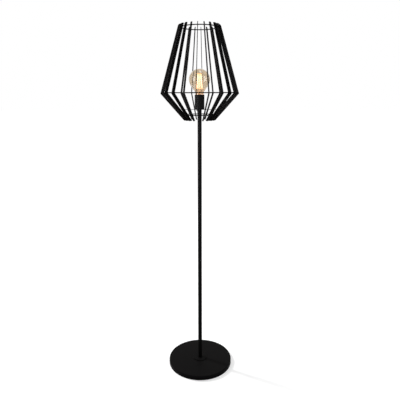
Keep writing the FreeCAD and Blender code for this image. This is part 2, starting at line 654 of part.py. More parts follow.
def make_carrier():
    carrier = new_body("cage_carrier")
    hub = new_sketch(carrier, "hub", "XY_Plane")
    draw_circle(hub, "Places.hubRadius")
    pad(carrier, hub, "Sizes.carrierThickness")

    half_arm = "Sizes.armWidth / 2"
    arm = new_sketch(carrier, "arm", "XY_Plane")
    draw_outline(arm, [
        ("0", "-" + half_arm),
        ("Places.armEnd", "-" + half_arm),
        ("Places.armEnd", half_arm),
        ("0", half_arm),
    ])
    arm_pad = pad(carrier, arm, "Sizes.carrierThickness")

    half_fork = "(Sizes.slatThickness / 2 + Sizes.forkGap)"
    fork = new_sketch(carrier, "fork", "XY_Plane")
    draw_outline(fork, [
        ("Places.forkFloor", "-" + half_fork),
        ("Places.armEnd + Sizes.armBite", "-" + half_fork),
        ("Places.armEnd + Sizes.armBite", half_fork),
        ("Places.forkFloor", half_fork),
    ])
    fork_cut = pocket(carrier, fork, symmetric=True)

    around(carrier, [arm_pad, fork_cut], "Sizes.carrierArms")

    hole = new_sketch(carrier, "tube_hole", "XY_Plane")
    draw_circle(hole, "Places.nippleHole")
    pocket(carrier, hole, symmetric=True)

    reach = value("sqrt(Places.hubRadius ^ 2 - (%s) ^ 2)" % half_arm)
    half = value(half_arm)
    middle = value("Sizes.carrierThickness / 2")
    corners = []
    for number in range(int(value("Sizes.carrierArms"))):
        turn = FreeCAD.Rotation(FreeCAD.Vector(0, 0, 1),
                                360.0 / value("Sizes.carrierArms") * number)
        for side in (half, -half):
            corners.append(turn.multVec(FreeCAD.Vector(reach, side, middle)))
    round_edges(carrier, "Sizes.armRound", corners)
    raise_to(carrier, "Places.poleTop")
    turn_to(carrier, "Sizes.firstSlatAngle + 270 + 360 / Sizes.slatCount"
                     " * (Sizes.slatCount / Sizes.carrierArms - 1)")


def make_rings():
    for label, radius, height in (
            ("ring_top", "Places.topRingRadius", "Places.topRingHeight"),
            ("ring_middle", "Places.middleRingRadius", "Places.middleRingHeight"),
            ("ring_bottom", "Places.bottomRingRadius", "Places.bottomRingHeight")):
        ring = new_body(label)
        turned(ring, eight_flats("Sizes.ringWire / 2", radius))
        raise_to(ring, height)


def make_slat(number):
    """Bent bar of the cage, standing on edge, with a notch for each ring."""
    slat = new_body("slat_%02d" % (number + 1))
    outline = new_sketch(slat, slat.Name + "_outline", "XZ_Plane")
    outer_top = ("Sizes.cageTopRadius", "Places.cageTop")
    outer_bend = ("Sizes.cageBendRadius", "Places.bendHeight")
    outer_bottom = ("Sizes.cageBottomRadius", "Places.cageBottom")
    inner_bottom = ("Places.bottomInnerRadius", "Places.cageBottom")
    inner_bend = ("Places.innerBendRadius", "Places.innerBendHeight")
    inner_top = ("Places.topInnerRadius", "Places.cageTop")
    draw_outline(outline, [outer_top, outer_bend, outer_bottom,
                           inner_bottom, inner_bend, inner_top])
    pad(slat, outline, "Sizes.slatThickness", symmetric=True)
    for radius, corners in (
            ("Sizes.topCornerRound", [outer_top]),
            ("Sizes.bottomCornerRound", [outer_bottom]),
            ("Sizes.outerBendRound", [outer_bend]),
            ("Sizes.innerBendRound", [inner_bend])):
        round_edges(slat, radius, [(value(x), 0.0, value(z)) for x, z in corners])
    notches = new_sketch(slat, slat.Name + "_notches", "XZ_Plane")
    half = "Places.notchHalf"
    for x, z in (("Places.topRingRadius", "Places.topRingHeight"),
                 ("Places.middleRingRadius", "Places.middleRingHeight"),
                 ("Places.bottomRingRadius", "Places.bottomRingHeight")):
        mouth = "%s - 2 * %s" % (x, half)
        floor = "%s + %s" % (x, half)
        low = "%s - %s" % (z, half)
        high = "%s + %s" % (z, half)
        draw_outline(notches, [(mouth, low), (floor, low), (floor, high), (mouth, high)])
    pocket(slat, notches, symmetric=True)
    turn_to(slat, "Sizes.firstSlatAngle + 270 + 360 / Sizes.slatCount * %d" % number)


# ---------------------------------------------------------------- lampholder

def make_cup():
    cup = new_body("holder_cup")
    turned(cup, [
        ("Places.nippleHole", "0"),
        ("Sizes.cupRadius - Sizes.cupEdge", "0"),
        ("Sizes.cupRadius", "Sizes.cupEdge"),
        ("Sizes.cupRadius", "Sizes.cupHeight"),
        ("Sizes.cupRadius - Sizes.cupWall", "Sizes.cupHeight"),
        ("Sizes.cupRadius - Sizes.cupWall", "Sizes.cupWall"),
        ("Places.nippleHole", "Sizes.cupWall"),
    ])
    raise_to(cup, "Places.carrierTop")
    hexagon_nut("cup_nut", "Sizes.cupNutAcross", "Places.nippleRadius + Sizes.fitGap",
                "Sizes.cupNutThickness", "Places.cupFloor")


def make_holder():
    lower = new_body("holder_lower")
    turned(lower, [
        ("Places.nippleRadius + Sizes.fitGap", "0"),
        ("Places.holderRadius - Sizes.holderWall", "0"),
        ("Places.holderRadius", "Sizes.holderWall"),
        ("Places.holderRadius", "Sizes.holderSplit"),
        ("Places.holderBore", "Sizes.holderSplit"),
        ("Places.holderBore", "Sizes.holderFloor"),
        ("Places.nippleRadius + Sizes.bossWall", "Sizes.holderFloor"),
        ("Places.nippleRadius + Sizes.bossWall", "Sizes.bossHeight"),
        ("Places.nippleRadius + Sizes.fitGap", "Sizes.bossHeight"),
    ])
    raise_to(lower, "Places.holderSeat")

    upper = new_body("holder_upper")
    seat = "Sizes.holderSplit + Sizes.deckGap"
    deck_top = seat + " + Sizes.deckThickness + Sizes.deckGap"
    shell_pocket = "Places.shellOutside + Sizes.deckGap"
    turned(upper, [
        ("Places.holderBore", seat),
        ("Places.holderRadius", seat),
        ("Places.holderRadius", "Sizes.holderHeight"),
        (shell_pocket, "Sizes.holderHeight"),
        (shell_pocket, deck_top),
        ("Places.holderBore", deck_top),
    ])
    raise_to(upper, "Places.holderSeat")

    deck = new_body("ceramic_deck")
    plate = new_sketch(deck, "deck_plate", "XY_Plane")
    draw_circle(plate, "Places.deckRadius")
    pad(deck, plate, "Sizes.deckThickness")
    raise_to(deck, "Places.deckUnder")

    shell = new_body("screw_shell")
    turned(shell, [
        ("Sizes.shellFloorHole", "0"),
        ("Places.shellOutside", "0"),
        ("Places.shellOutside", "Places.shellHeight"),
        ("Places.shellRadius", "Places.shellHeight"),
        ("Places.shellRadius", "Sizes.shellWall"),
        ("Sizes.shellFloorHole", "Sizes.shellWall"),
    ])
    raise_to(shell, "Places.deckTop")


def make_contact():
    contact = new_body("centre_contact")
    leaf = new_sketch(contact, "leaf", "XZ_Plane")
    crest = "Sizes.contactRise"
    under_crest = "Sizes.contactRise - Sizes.contactThickness"
    draw_outline(leaf, [
        ("-Sizes.contactFoot", "0"),
        ("-Sizes.contactRamp", "0"),
        ("-Sizes.contactCrest", under_crest),
        ("Sizes.contactCrest", under_crest),
        ("Sizes.contactLip", under_crest + " - Sizes.contactLipDrop"),
        ("Sizes.contactLip", crest + " - Sizes.contactLipDrop"),
        ("Sizes.contactCrest", crest),
        ("-Sizes.contactCrest", crest),
        ("-Sizes.contactRamp - Sizes.contactThickness / 2", "Sizes.contactThickness"),
        ("-Sizes.contactFoot", "Sizes.contactThickness"),
    ])
    pad(contact, leaf, "Sizes.contactWidth", symmetric=True)
    raise_to(contact, "Places.deckTop")


def make_terminals():
    """Two brass blocks under the deck, each with its screw from the side."""
    block = doc.addObject("Part::Box", "block")
    block.setExpression("Length", "Sizes.terminalWidth")
    block.setExpression("Width", "Sizes.terminalWidth")
    block.setExpression("Height", "Sizes.terminalHeight")
    block.setExpression(".Placement.Base.x", "Sizes.terminalReach - Sizes.terminalWidth / 2")
    block.setExpression(".Placement.Base.y", "-Sizes.terminalWidth / 2")
    raise_to(block, "Places.terminalUnder")

    def along_x(label, radius, start, length):
        rod = doc.addObject("Part::Cylinder", label)
        rod.Placement.Rotation = FreeCAD.Rotation(FreeCAD.Vector(0, 1, 0), 90)
        rod.setExpression("Radius", radius)
        rod.setExpression("Height", length)
        rod.setExpression(".Placement.Base.x", start)
        raise_to(rod, "Places.terminalUnder + Sizes.terminalHeight / 2")
        return rod

    face = "Sizes.terminalReach + Sizes.terminalWidth / 2"
    hole = along_x("block_hole", "Sizes.screwRadius + Sizes.fitGap",
                   "Sizes.terminalReach", "Sizes.terminalWidth")
    drilled = doc.addObject("Part::Cut", "drilled_block")
    drilled.Base = block
    drilled.Tool = hole
    shank = along_x("shank", "Sizes.screwRadius",
                    "Sizes.terminalReach + Sizes.fitGap",
                    "Sizes.terminalWidth / 2 - Sizes.fitGap")
    head = along_x("head", "Sizes.screwHead", face, "Sizes.screwHeadHeight")
    screw = doc.addObject("Part::Fuse", "screw")
    screw.Base = shank
    screw.Tool = head
    for label, right in (("terminal_blocks", drilled), ("terminal_screws", screw)):
        left = doc.addObject("Part::Mirroring", label + "_left")
        left.Source = right
        left.Normal = FreeCAD.Vector(1, 0, 0)
        pair = doc.addObject("Part::Compound", label)
        pair.Links = [right, left]
        keep(pair, label)


# ---------------------------------------------------------------- bulb

def globe_solid(name, skin):
    """Solid inside the glass at the given depth under its outer face.

    The globe is drawn as narrow cones between circles of the sphere, which keeps it light.
    """
    solid = doc.addObject("PartDesign::Body", name)
    radius = "(Sizes.globeRadius - %s)" % skin
    neck = "Sizes.neckRadius - " + skin
    seal = "Places.sealRadius - " + skin
    neck_top = ("Sizes.globeRise - %s * sin(Sizes.neckLean) - (%s * cos(Sizes.neckLean)"
                " - (%s)) / tan(Sizes.neckLean)" % (radius, radius, neck))
    shoulder = "Sizes.shoulderRise + " + skin + " / 2"
    seal_top = "Sizes.capRise + " + skin + " / 2"
    foot = "Sizes.sealRise - 2 * " + skin
    share = "Sizes.shoulderBevel / (%s - (%s))" % (shoulder, seal_top)
    lower = int(value("Sizes.globeLowerCones"))
    upper = int(value("Sizes.globeUpperCones"))
    angles = ["-Sizes.neckLean * %d / Sizes.globeLowerCones" % step
              for step in range(lower, 0, -1)]
    angles += ["90 * %d / Sizes.globeUpperCones" % step for step in range(upper)]
    corners = [("0", foot), (seal, foot), (seal, seal_top),
               ("%s - (%s - (%s)) * %s" % (neck, neck, seal, share),
                "%s - Sizes.shoulderBevel" % shoulder),
               (neck, "%s + Sizes.shoulderBevel" % shoulder),
               (neck, "%s - Sizes.neckBevel" % neck_top),
               ("%s + Sizes.neckBevel * sin(Sizes.neckLean)" % neck,
                "%s + Sizes.neckBevel * cos(Sizes.neckLean)" % neck_top)]
    corners += [("%s * cos(%s)" % (radius, angle),
                 "Sizes.globeRise + %s * sin(%s)" % (radius, angle)) for angle in angles]
    corners.append(("0", "Sizes.globeRise + " + radius))
    turned(solid, corners)
    return solid


def make_glass():
    glass = doc.addObject("Part::Cut", "bulb_glass")
    glass.Base = globe_solid("globe_outside", "0")
    glass.Tool = globe_solid("globe_inside", "Sizes.glassWall")
    raise_to(glass, "Places.bulbSeat")
    keep(glass, "bulb_glass")


def make_cap():
    cap = new_body("bulb_cap")
    cone_top = "Sizes.capFoot + Sizes.capLower"
    turned(cap, [
        ("Places.insulatorRadius", "Sizes.capFoot"),
        ("Sizes.capRadius", cone_top),
        ("Sizes.capRadius", "Sizes.capRise"),
        ("Places.capBore", "Sizes.capRise"),
        ("Places.capBore", cone_top),
        ("Places.insulatorRadius - Sizes.capWall", "Sizes.capFoot"),
    ])
    raise_to(cap, "Places.bulbSeat")

    insulator = new_body("cap_insulator")
    turned(insulator, [
        ("0", "Sizes.tipHeight"),
        ("Sizes.tipRadius", "Sizes.tipHeight"),
        ("Places.insulatorRadius", "Sizes.capFoot"),
        ("0", "Sizes.capFoot"),
    ])
    raise_to(insulator, "Places.bulbSeat")

    tip = new_body("solder_tip")
    turned(tip, [
        ("0", "0"),
        ("Sizes.tipRadius - Sizes.tipHeight", "0"),
        ("Sizes.tipRadius", "Sizes.tipHeight"),
        ("0", "Sizes.tipHeight"),
    ])
    raise_to(tip, "Places.bulbSeat")


def make_stem():
    """Flared glass stem with a rod up the middle, and a collar for each row of hooks."""
    stem = new_body("glass_stem")
    rod_top = "Sizes.strandTopRise + Sizes.stemRodAbove"
    section = [
        ("0", "Sizes.stemTubeRise"),
        ("Places.stemFlare - Sizes.stemWall", "Sizes.stemFlareRise"),
        ("Places.stemFlare", "Sizes.stemFlareRise"),
        ("Sizes.stemNeck", "Sizes.stemTubeRise"),
        ("Sizes.stemNeck", "Sizes.stemPressRise"),
        ("Sizes.stemRod", "Sizes.stemPressRise + Sizes.stemNeck"),
    ]
    for middle in ("Sizes.strandLowRise", "Sizes.strandTopRise"):
        low = middle + " - Sizes.beadHeight / 2"
        high = middle + " + Sizes.beadHeight / 2"
        section += [("Sizes.stemRod", low), ("Sizes.beadRadius", low),
                    ("Sizes.beadRadius", high), ("Sizes.stemRod", high)]
    section += [("Sizes.stemRod", rod_top), ("0", rod_top)]
    turned(stem, section)
    raise_to(stem, "Places.bulbSeat")


def slanted_rod(body, wire, start, end):
    """Straight wire in the XZ plane between two points: distance from the axis, height."""
    low_distance, low_height = start
    top_distance, top_height = end
    widens = value(top_distance) > value(low_distance)
    offset = "(%s) - (%s)" % ((top_distance, low_distance) if widens
                              else (low_distance, top_distance))
    rise = "((%s) - (%s))" % (top_height, low_height)
    lean = "atan((%s) / %s)" % (offset, rise)
    section = new_sketch(body, body.Name + "Wire", "XY_Plane", low_height)
    tilt_axis = FreeCAD.Vector(0, 1 if widens else -1, 0)
    section.AttachmentOffset.Rotation = FreeCAD.Rotation(tilt_axis, 1)
    section.setExpression(".AttachmentOffset.Rotation.Angle", lean)
    section.setExpression(".AttachmentOffset.Base.x", low_distance)
    draw_outline(section, eight_flats(wire))
    return pad(body, section, "%s / cos(%s)" % (rise, lean))


def make_filament():
    """Wire that runs up and down between two rows of hooks, like the bars of a cage.

    Each pair of strands is joined at the top, and each next pair at the foot, apart from
    the first two strands, whose feet stand on the leads.
    """
    filament = new_body("filament")
    strand = slanted_rod(
        filament, "Sizes.strandWire",
        ("Sizes.strandLowRadius", "Sizes.strandLowRise - Sizes.strandWire"),
        ("Sizes.strandTopRadius", "Sizes.strandTopRise + Sizes.strandWire"))
    around(filament, [strand], "Sizes.strandCount")
    pairs = "Sizes.strandCount / 2"
    rows = (
        ("Sizes.strandTopRadius", "Sizes.strandTopRise", "3 * Places.strandTurn",
         pairs, "360"),
        ("Sizes.strandLowRadius", "Sizes.strandLowRise", "5 * Places.strandTurn",
         pairs + " - 1", "360 - 8 * Places.strandTurn"),
    )
    for radius, height, turn, count, angle in rows:
        section = new_sketch(filament, "link", "XZ_Plane", None, turn)
        draw_outline(section, eight_flats("Sizes.turnWire",
                                          radius + " * cos(Places.strandTurn)", height))
        link = pad(filament, section, "2 * %s * sin(Places.strandTurn)" % radius, symmetric=True)
        around(filament, [link], count, angle)
    raise_to(filament, "Places.bulbSeat")

    hooks = new_body("filament_hooks")
    for radius, height, turn, count, angle in rows:
        section = new_sketch(hooks, "hook", "YZ_Plane", "Sizes.beadRadius", turn)
        draw_outline(section, eight_flats("Sizes.hookWire", "0", height))
        hook = pad(hooks, section, "%s * cos(Places.strandTurn) - Sizes.turnWire"
                                   " - Sizes.beadRadius" % radius)
        around(hooks, [hook], count, angle)
    raise_to(hooks, "Places.bulbSeat")

    leads = new_body("stem_leads")
    lead = slanted_rod(
        leads, "Sizes.hookWire",
        ("Sizes.stemNeck + Sizes.hookWire", "Sizes.stemPressRise"),
        ("Sizes.strandLowRadius", "Sizes.strandLowRise - Sizes.strandWire - Sizes.turnWire"))
    around(leads, [lead], "2", "2 * Places.strandTurn")
    raise_to(leads, "Places.bulbSeat")


# ---------------------------------------------------------------- the whole lamp

make_base_cover()
make_base_weight()
make_base_pad()
make_foot_disc()
make_clamp()
make_cord_bush()
make_pole()
make_lead()
make_carrier()
make_rings()
for slat_number in range(int(value("Sizes.slatCount"))):
    make_slat(slat_number)
make_cup()
make_holder()
make_contact()
make_terminals()
make_glass()
make_cap()
make_stem()
make_filament()
doc.recompute()

for item in doc.Objects:
    if "Invalid" in item.State or "Error" in item.State:
        raise RuntimeError("%s did not build: %s" % (item.Label, item.State))
for node in nodes:
    if node.Shape.isNull() or not node.Shape.isValid():
        raise RuntimeError("%s has no valid shape" % node.Label)

os.makedirs("parts", exist_ok=True)
for node in nodes:
    node.Shape.exportStep("parts/%s.step" % node.Label)
print("%d sub-parts written" % len(nodes))
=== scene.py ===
import math

import bmesh
import bpy
from mathutils import Matrix, Vector


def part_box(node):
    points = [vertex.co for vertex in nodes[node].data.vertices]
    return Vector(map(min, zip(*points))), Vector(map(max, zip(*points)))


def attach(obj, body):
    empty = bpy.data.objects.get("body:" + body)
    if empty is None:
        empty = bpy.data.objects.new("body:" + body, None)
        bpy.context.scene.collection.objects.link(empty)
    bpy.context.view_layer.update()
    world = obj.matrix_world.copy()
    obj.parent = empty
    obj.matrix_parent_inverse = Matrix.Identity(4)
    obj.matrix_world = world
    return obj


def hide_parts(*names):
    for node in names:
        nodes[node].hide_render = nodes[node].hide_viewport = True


# Floor lamp with an open cage of bent bars round a globe bulb.
# The frame is in metres; the dictionaries below are in millimetres unless a note says otherwise.

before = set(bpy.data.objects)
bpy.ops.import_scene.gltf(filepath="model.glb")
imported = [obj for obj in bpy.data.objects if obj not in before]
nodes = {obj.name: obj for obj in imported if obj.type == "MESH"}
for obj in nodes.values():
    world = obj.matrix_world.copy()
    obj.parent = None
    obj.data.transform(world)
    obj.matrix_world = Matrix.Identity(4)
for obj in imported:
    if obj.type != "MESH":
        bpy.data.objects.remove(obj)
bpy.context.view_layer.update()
mm = 0.001
print("frame loaded with", len(nodes), "nodes")


# ---- shared shader effects

def newGroup(name, inputs, outputs):
    group = bpy.data.node_groups.new(name, "ShaderNodeTree")
    for label, value in inputs.items():
        socket = group.interface.new_socket(label, in_out="INPUT", socket_type="NodeSocketFloat")
        socket.default_value = value
    for label in outputs:
        group.interface.new_socket(label, in_out="OUTPUT", socket_type="NodeSocketFloat")
    return group, group.nodes.new("NodeGroupInput"), group.nodes.new("NodeGroupOutput")


def addNode(tree, kind, **settings):
    node = tree.nodes.new(kind)
    for name, value in settings.items():
        if name in node.inputs:
            node.inputs[name].default_value = value
        else:
            setattr(node, name, value)
    return node


def mathNode(tree, operation, first, second=None, third=None):
    node = tree.nodes.new("ShaderNodeMath")
    node.operation = operation
    for socket, value in zip(node.inputs, (first, second, third)):
        if isinstance(value, bpy.types.NodeSocket):
            tree.links.new(value, socket)
        elif value is not None:
            socket.default_value = value
    return node.outputs[0]


def noiseAt(tree, scale, detail=3.0, stretch=None, roughness=0.5):
    where = tree.nodes.new("ShaderNodeTexCoord").outputs["Object"]
    if stretch:
        mapping = addNode(tree, "ShaderNodeMapping", Scale=stretch)
        tree.links.new(where, mapping.inputs["Vector"])
        where = mapping.outputs["Vector"]
    noise = addNode(tree, "ShaderNodeTexNoise", Detail=detail, Roughness=roughness)
    tree.links.new(where, noise.inputs["Vector"])
    if isinstance(scale, bpy.types.NodeSocket):
        tree.links.new(scale, noise.inputs["Scale"])
    else:
        noise.inputs["Scale"].default_value = scale
    return noise.outputs["Fac"]


def makeEdgeWear():
    # 1 on convex edges, broken up by noise, 0 on flat faces
    group, given, result = newGroup(
        "edgeWear", {"Reach": 0.0004, "Amount": 1.0, "Patch Scale": 180.0}, ["Mask"])
    bevel = addNode(group, "ShaderNodeBevel", samples=6)
    group.links.new(given.outputs["Reach"], bevel.inputs["Radius"])
    flat = addNode(group, "ShaderNodeNewGeometry")
    facing = addNode(group, "ShaderNodeVectorMath", operation="DOT_PRODUCT")
    group.links.new(bevel.outputs["Normal"], facing.inputs[0])
    group.links.new(flat.outputs["Normal"], facing.inputs[1])
    bend = mathNode(group, "SUBTRACT", 1.0, facing.outputs["Value"])
    edge = mathNode(group, "MULTIPLY", bend, 5.0)
    patches = mathNode(group, "SUBTRACT", noiseAt(group, given.outputs["Patch Scale"]), 0.38)
    worn = mathNode(group, "MULTIPLY", edge, mathNode(group, "MULTIPLY", patches, 4.0))
    scaled = group.nodes.new("ShaderNodeMath")
    scaled.operation = "MULTIPLY"
    scaled.use_clamp = True
    group.links.new(worn, scaled.inputs[0])
    group.links.new(given.outputs["Amount"], scaled.inputs[1])
    group.links.new(scaled.outputs[0], result.inputs["Mask"])
    return group


def makeSurfaceGrain():
    # fine height plus a slow mottle, for coats, castings, mouldings and glazes
    group, given, result = newGroup(
        "surfaceGrain", {"Fine Scale": 900.0, "Slow Scale": 25.0, "Slow Share": 0.2},
        ["Height", "Mottle"])
    fine = noiseAt(group, given.outputs["Fine Scale"], 2.0)
    slow = noiseAt(group, given.outputs["Slow Scale"], 4.0)
    mixed = mathNode(group, "MULTIPLY_ADD", slow, given.outputs["Slow Share"], fine)
    group.links.new(mixed, result.inputs["Height"])
    group.links.new(slow, result.inputs["Mottle"])
    return group


def makeDrawnLines():
    # marks of turning or drawing: long along one axis
    group, given, result = newGroup(
        "drawnLines", {"Scale": 60.0}, ["Lines"])
    lines = noiseAt(group, given.outputs["Scale"], 5.0, stretch=(1.0, 1.0, 26.0), roughness=0.65)
    group.links.new(lines, result.inputs["Lines"])
    return group


def makeSettledDust():
    # a little more on faces that look up, in soft patches
    group, given, result = newGroup(
        "settledDust", {"Amount": 0.3, "Patch Scale": 14.0}, ["Mask"])
    facing = group.nodes.new("ShaderNodeNewGeometry")
    split = group.nodes.new("ShaderNodeSeparateXYZ")
    group.links.new(facing.outputs["Normal"], split.inputs[0])
    upward = mathNode(group, "POWER", mathNode(group, "MAXIMUM", split.outputs["Z"], 0.0), 3.0)
    patches = noiseAt(group, given.outputs["Patch Scale"], 6.0, roughness=0.7)
    specks = mathNode(group, "GREATER_THAN", noiseAt(group, 1400.0, 1.0), 0.71)
    layer = mathNode(group, "MULTIPLY_ADD", patches, 0.6, specks)
    laid = mathNode(group, "MULTIPLY", upward, layer)
    group.links.new(mathNode(group, "MULTIPLY", laid, given.outputs["Amount"]),
                    result.inputs["Mask"])
    return group


edgeWear = makeEdgeWear()
surfaceGrain = makeSurfaceGrain()
drawnLines = makeDrawnLines()
settledDust = makeSettledDust()


def newMaterial(name, **sockets):
    material = bpy.data.materials.new(name)
    material.use_nodes = True
    shader = material.node_tree.nodes["Principled BSDF"]
    for label, value in sockets.items():
        shader.inputs[label.replace("_", " ")].default_value = value
    return material, material.node_tree, shader


def useGroup(tree, group, **values):
    node = tree.nodes.new("ShaderNodeGroup")
    node.node_tree = group
    for label, value in values.items():
        node.inputs[label.replace("_", " ")].default_value = value
    return node


def spread(tree, source, low, high, fromLow=0.3, fromHigh=0.7):
    node = addNode(tree, "ShaderNodeMapRange", clamp=True)
    for label, value in (("From Min", fromLow), ("From Max", fromHigh),
                         ("To Min", low), ("To Max", high)):
        node.inputs[label].default_value = value
    tree.links.new(source, node.inputs["Value"])
    return node.outputs["Result"]


def mixColours(tree, mask, first, second):
    node = addNode(tree, "ShaderNodeMix", data_type="RGBA")
    colours = [socket for socket in node.inputs if socket.type == "RGBA"]
    for socket, value in zip(colours, (first, second)):
        if isinstance(value, bpy.types.NodeSocket):
            tree.links.new(value, socket)
        else:
            socket.default_value = (*value, 1.0)
    tree.links.new(mask, node.inputs["Factor"])
    return [socket for socket in node.outputs if socket.type == "RGBA"][0]


def heightOf(tree):
    where = tree.nodes.new("ShaderNodeTexCoord")
    split = tree.nodes.new("ShaderNodeSeparateXYZ")
    tree.links.new(where.outputs["Object"], split.inputs[0])
    return split.outputs["Z"]


def addBump(tree, shader, height, distance, strength=1.0):
    bump = addNode(tree, "ShaderNodeBump", Strength=strength, Distance=distance)
    tree.links.new(height, bump.inputs["Height"])
    tree.links.new(bump.outputs["Normal"], shader.inputs["Normal"])


# ---- materials

def makeCoat():
    look = {"colour": (0.0042, 0.0040, 0.0041), "mottled": (0.0058, 0.0055, 0.0056),
            "rubbed": (0.036, 0.034, 0.032), "dusty": (0.050, 0.048, 0.044),
            "peelDepth": 0.000025}
    material, tree, shader = newMaterial("blackCoat", Specular_IOR_Level=0.012)
    grain = useGroup(tree, surfaceGrain, Fine_Scale=1150.0, Slow_Scale=34.0, Slow_Share=0.3)
    wear = useGroup(tree, edgeWear, Reach=0.0005, Amount=0.4, Patch_Scale=240.0)
    dust = useGroup(tree, settledDust, Amount=0.045, Patch_Scale=18.0)
    tone = mixColours(tree, grain.outputs["Mottle"], look["colour"], look["mottled"])
    tone = mixColours(tree, wear.outputs["Mask"], tone, look["rubbed"])
    tone = mixColours(tree, dust.outputs["Mask"], tone, look["dusty"])
    tree.links.new(tone, shader.inputs["Base Color"])
    tree.links.new(spread(tree, grain.outputs["Mottle"], 0.40, 0.52), shader.inputs["Roughness"])
    addBump(tree, shader, grain.outputs["Height"], look["peelDepth"], 0.25)
    return material


def makeGrained(name, colour, darker, rough, depth, fine=700.0, slow=30.0, **sockets):
    # castings, mouldings, rubber, ceramic: one colour that drifts, a fine height
    material, tree, shader = newMaterial(name, **sockets)
    grain = useGroup(tree, surfaceGrain, Fine_Scale=fine, Slow_Scale=slow, Slow_Share=0.5)
    tree.links.new(mixColours(tree, spread(tree, grain.outputs["Mottle"], 0.0, 1.0),
                              colour, darker), shader.inputs["Base Color"])
    tree.links.new(spread(tree, grain.outputs["Mottle"], rough[0], rough[1]),
                   shader.inputs["Roughness"])
    addBump(tree, shader, grain.outputs["Height"], depth)
    return material


def makeMetal(name, colour, tarnished, rough, worn=0.4, lines=60.0):
    # plated, stamped or drawn metal: turning lines, tarnish in patches, bright edges
    material, tree, shader = newMaterial(name, Metallic=1.0)
    marks = useGroup(tree, drawnLines, Scale=lines)
    grain = useGroup(tree, surfaceGrain, Fine_Scale=500.0, Slow_Scale=90.0, Slow_Share=0.2)
    wear = useGroup(tree, edgeWear, Reach=0.0003, Amount=worn, Patch_Scale=500.0)
    tone = mixColours(tree, spread(tree, grain.outputs["Mottle"], 0.0, 0.8), colour, tarnished)
    bright = tuple(min(1.0, channel * 1.25) for channel in colour)
    tree.links.new(mixColours(tree, wear.outputs["Mask"], tone, bright),
                   shader.inputs["Base Color"])
    tree.links.new(spread(tree, marks.outputs["Lines"], rough[0], rough[1]),
                   shader.inputs["Roughness"])
    addBump(tree, shader, marks.outputs["Lines"], 0.00002, 0.5)
    return material


def makeFelt():
    material, tree, shader = newMaterial("blackFelt", Sheen_Weight=0.5, Sheen_Roughness=0.6,
                                         Specular_IOR_Level=0.1)
    fibres = noiseAt(tree, 1500.0, 4.0, stretch=(1.0, 2.2, 1.0), roughness=0.75)
    tree.links.new(mixColours(tree, fibres, (0.012, 0.012, 0.012), (0.045, 0.045, 0.047)),
                   shader.inputs["Base Color"])
    tree.links.new(spread(tree, fibres, 0.85, 1.0), shader.inputs["Roughness"])
    addBump(tree, shader, fibres, 0.0003)
    return material


def makeBulbGlass():
    # gold-tinted clear glass; the tint gathers a little towards the neck
    look = {"globe": (0.735, 0.65, 0.53), "neck": (0.82, 0.59, 0.39),
            "neckBottom": 1.318, "neckTop": 1.350}  # heights in metres
    material, tree, shader = newMaterial("goldGlass", Transmission_Weight=1.0, IOR=1.45)
    shader.inputs["Roughness"].default_value = 0.0
    height = heightOf(tree)
    towardsNeck = spread(tree, height, 1.0, 0.0, look["neckBottom"], look["neckTop"])
    drift = noiseAt(tree, 22.0, 2.0)
    mask = mathNode(tree, "MULTIPLY_ADD", drift, 0.12, towardsNeck)
    tree.links.new(mixColours(tree, mask, look["globe"], look["neck"]),
                   shader.inputs["Base Color"])
    ripples = noiseAt(tree, 26.0, 1.0)
    addBump(tree, shader, ripples, 0.0004, 0.12)
    return material


def makeStemGlass():
    material, tree, shader = newMaterial("stemGlass", Transmission_Weight=1.0, IOR=1.48)
    shader.inputs["Roughness"].default_value = 0.03
    streaks = noiseAt(tree, 160.0, 3.0, stretch=(1.0, 1.0, 0.15))
    tree.links.new(mixColours(tree, streaks, (0.97, 0.93, 0.84), (0.90, 0.84, 0.72)),
                   shader.inputs["Base Color"])
    addBump(tree, shader, streaks, 0.0001, 0.5)
    return material


def makeGlow():
    # carbon wire: brightest halfway up each strand, darker where a hook cools it
    look = {"hot": (1.0, 0.60, 0.42), "cooled": (0.72, 0.24, 0.05),
            "lowHook": (1.344, 1.352), "topHook": (1.402, 1.4135)}  # heights in metres
    material, tree, shader = newMaterial("glowingWire", Emission_Strength=9.5, Roughness=0.6)
    shader.inputs["Base Color"].default_value = (0.02, 0.012, 0.006, 1.0)
    height = heightOf(tree)
    lowEnd = spread(tree, height, 0.0, 1.0, *look["lowHook"])
    topEnd = spread(tree, height, 1.0, 0.0, *look["topHook"])
    coil = noiseAt(tree, 900.0, 2.0)
    heat = mathNode(tree, "MULTIPLY", mathNode(tree, "MULTIPLY", lowEnd, topEnd),
                    mathNode(tree, "MULTIPLY_ADD", coil, 0.5, 0.75))
    tree.links.new(mixColours(tree, heat, look["cooled"], look["hot"]),
                   shader.inputs["Emission Color"])
    return material


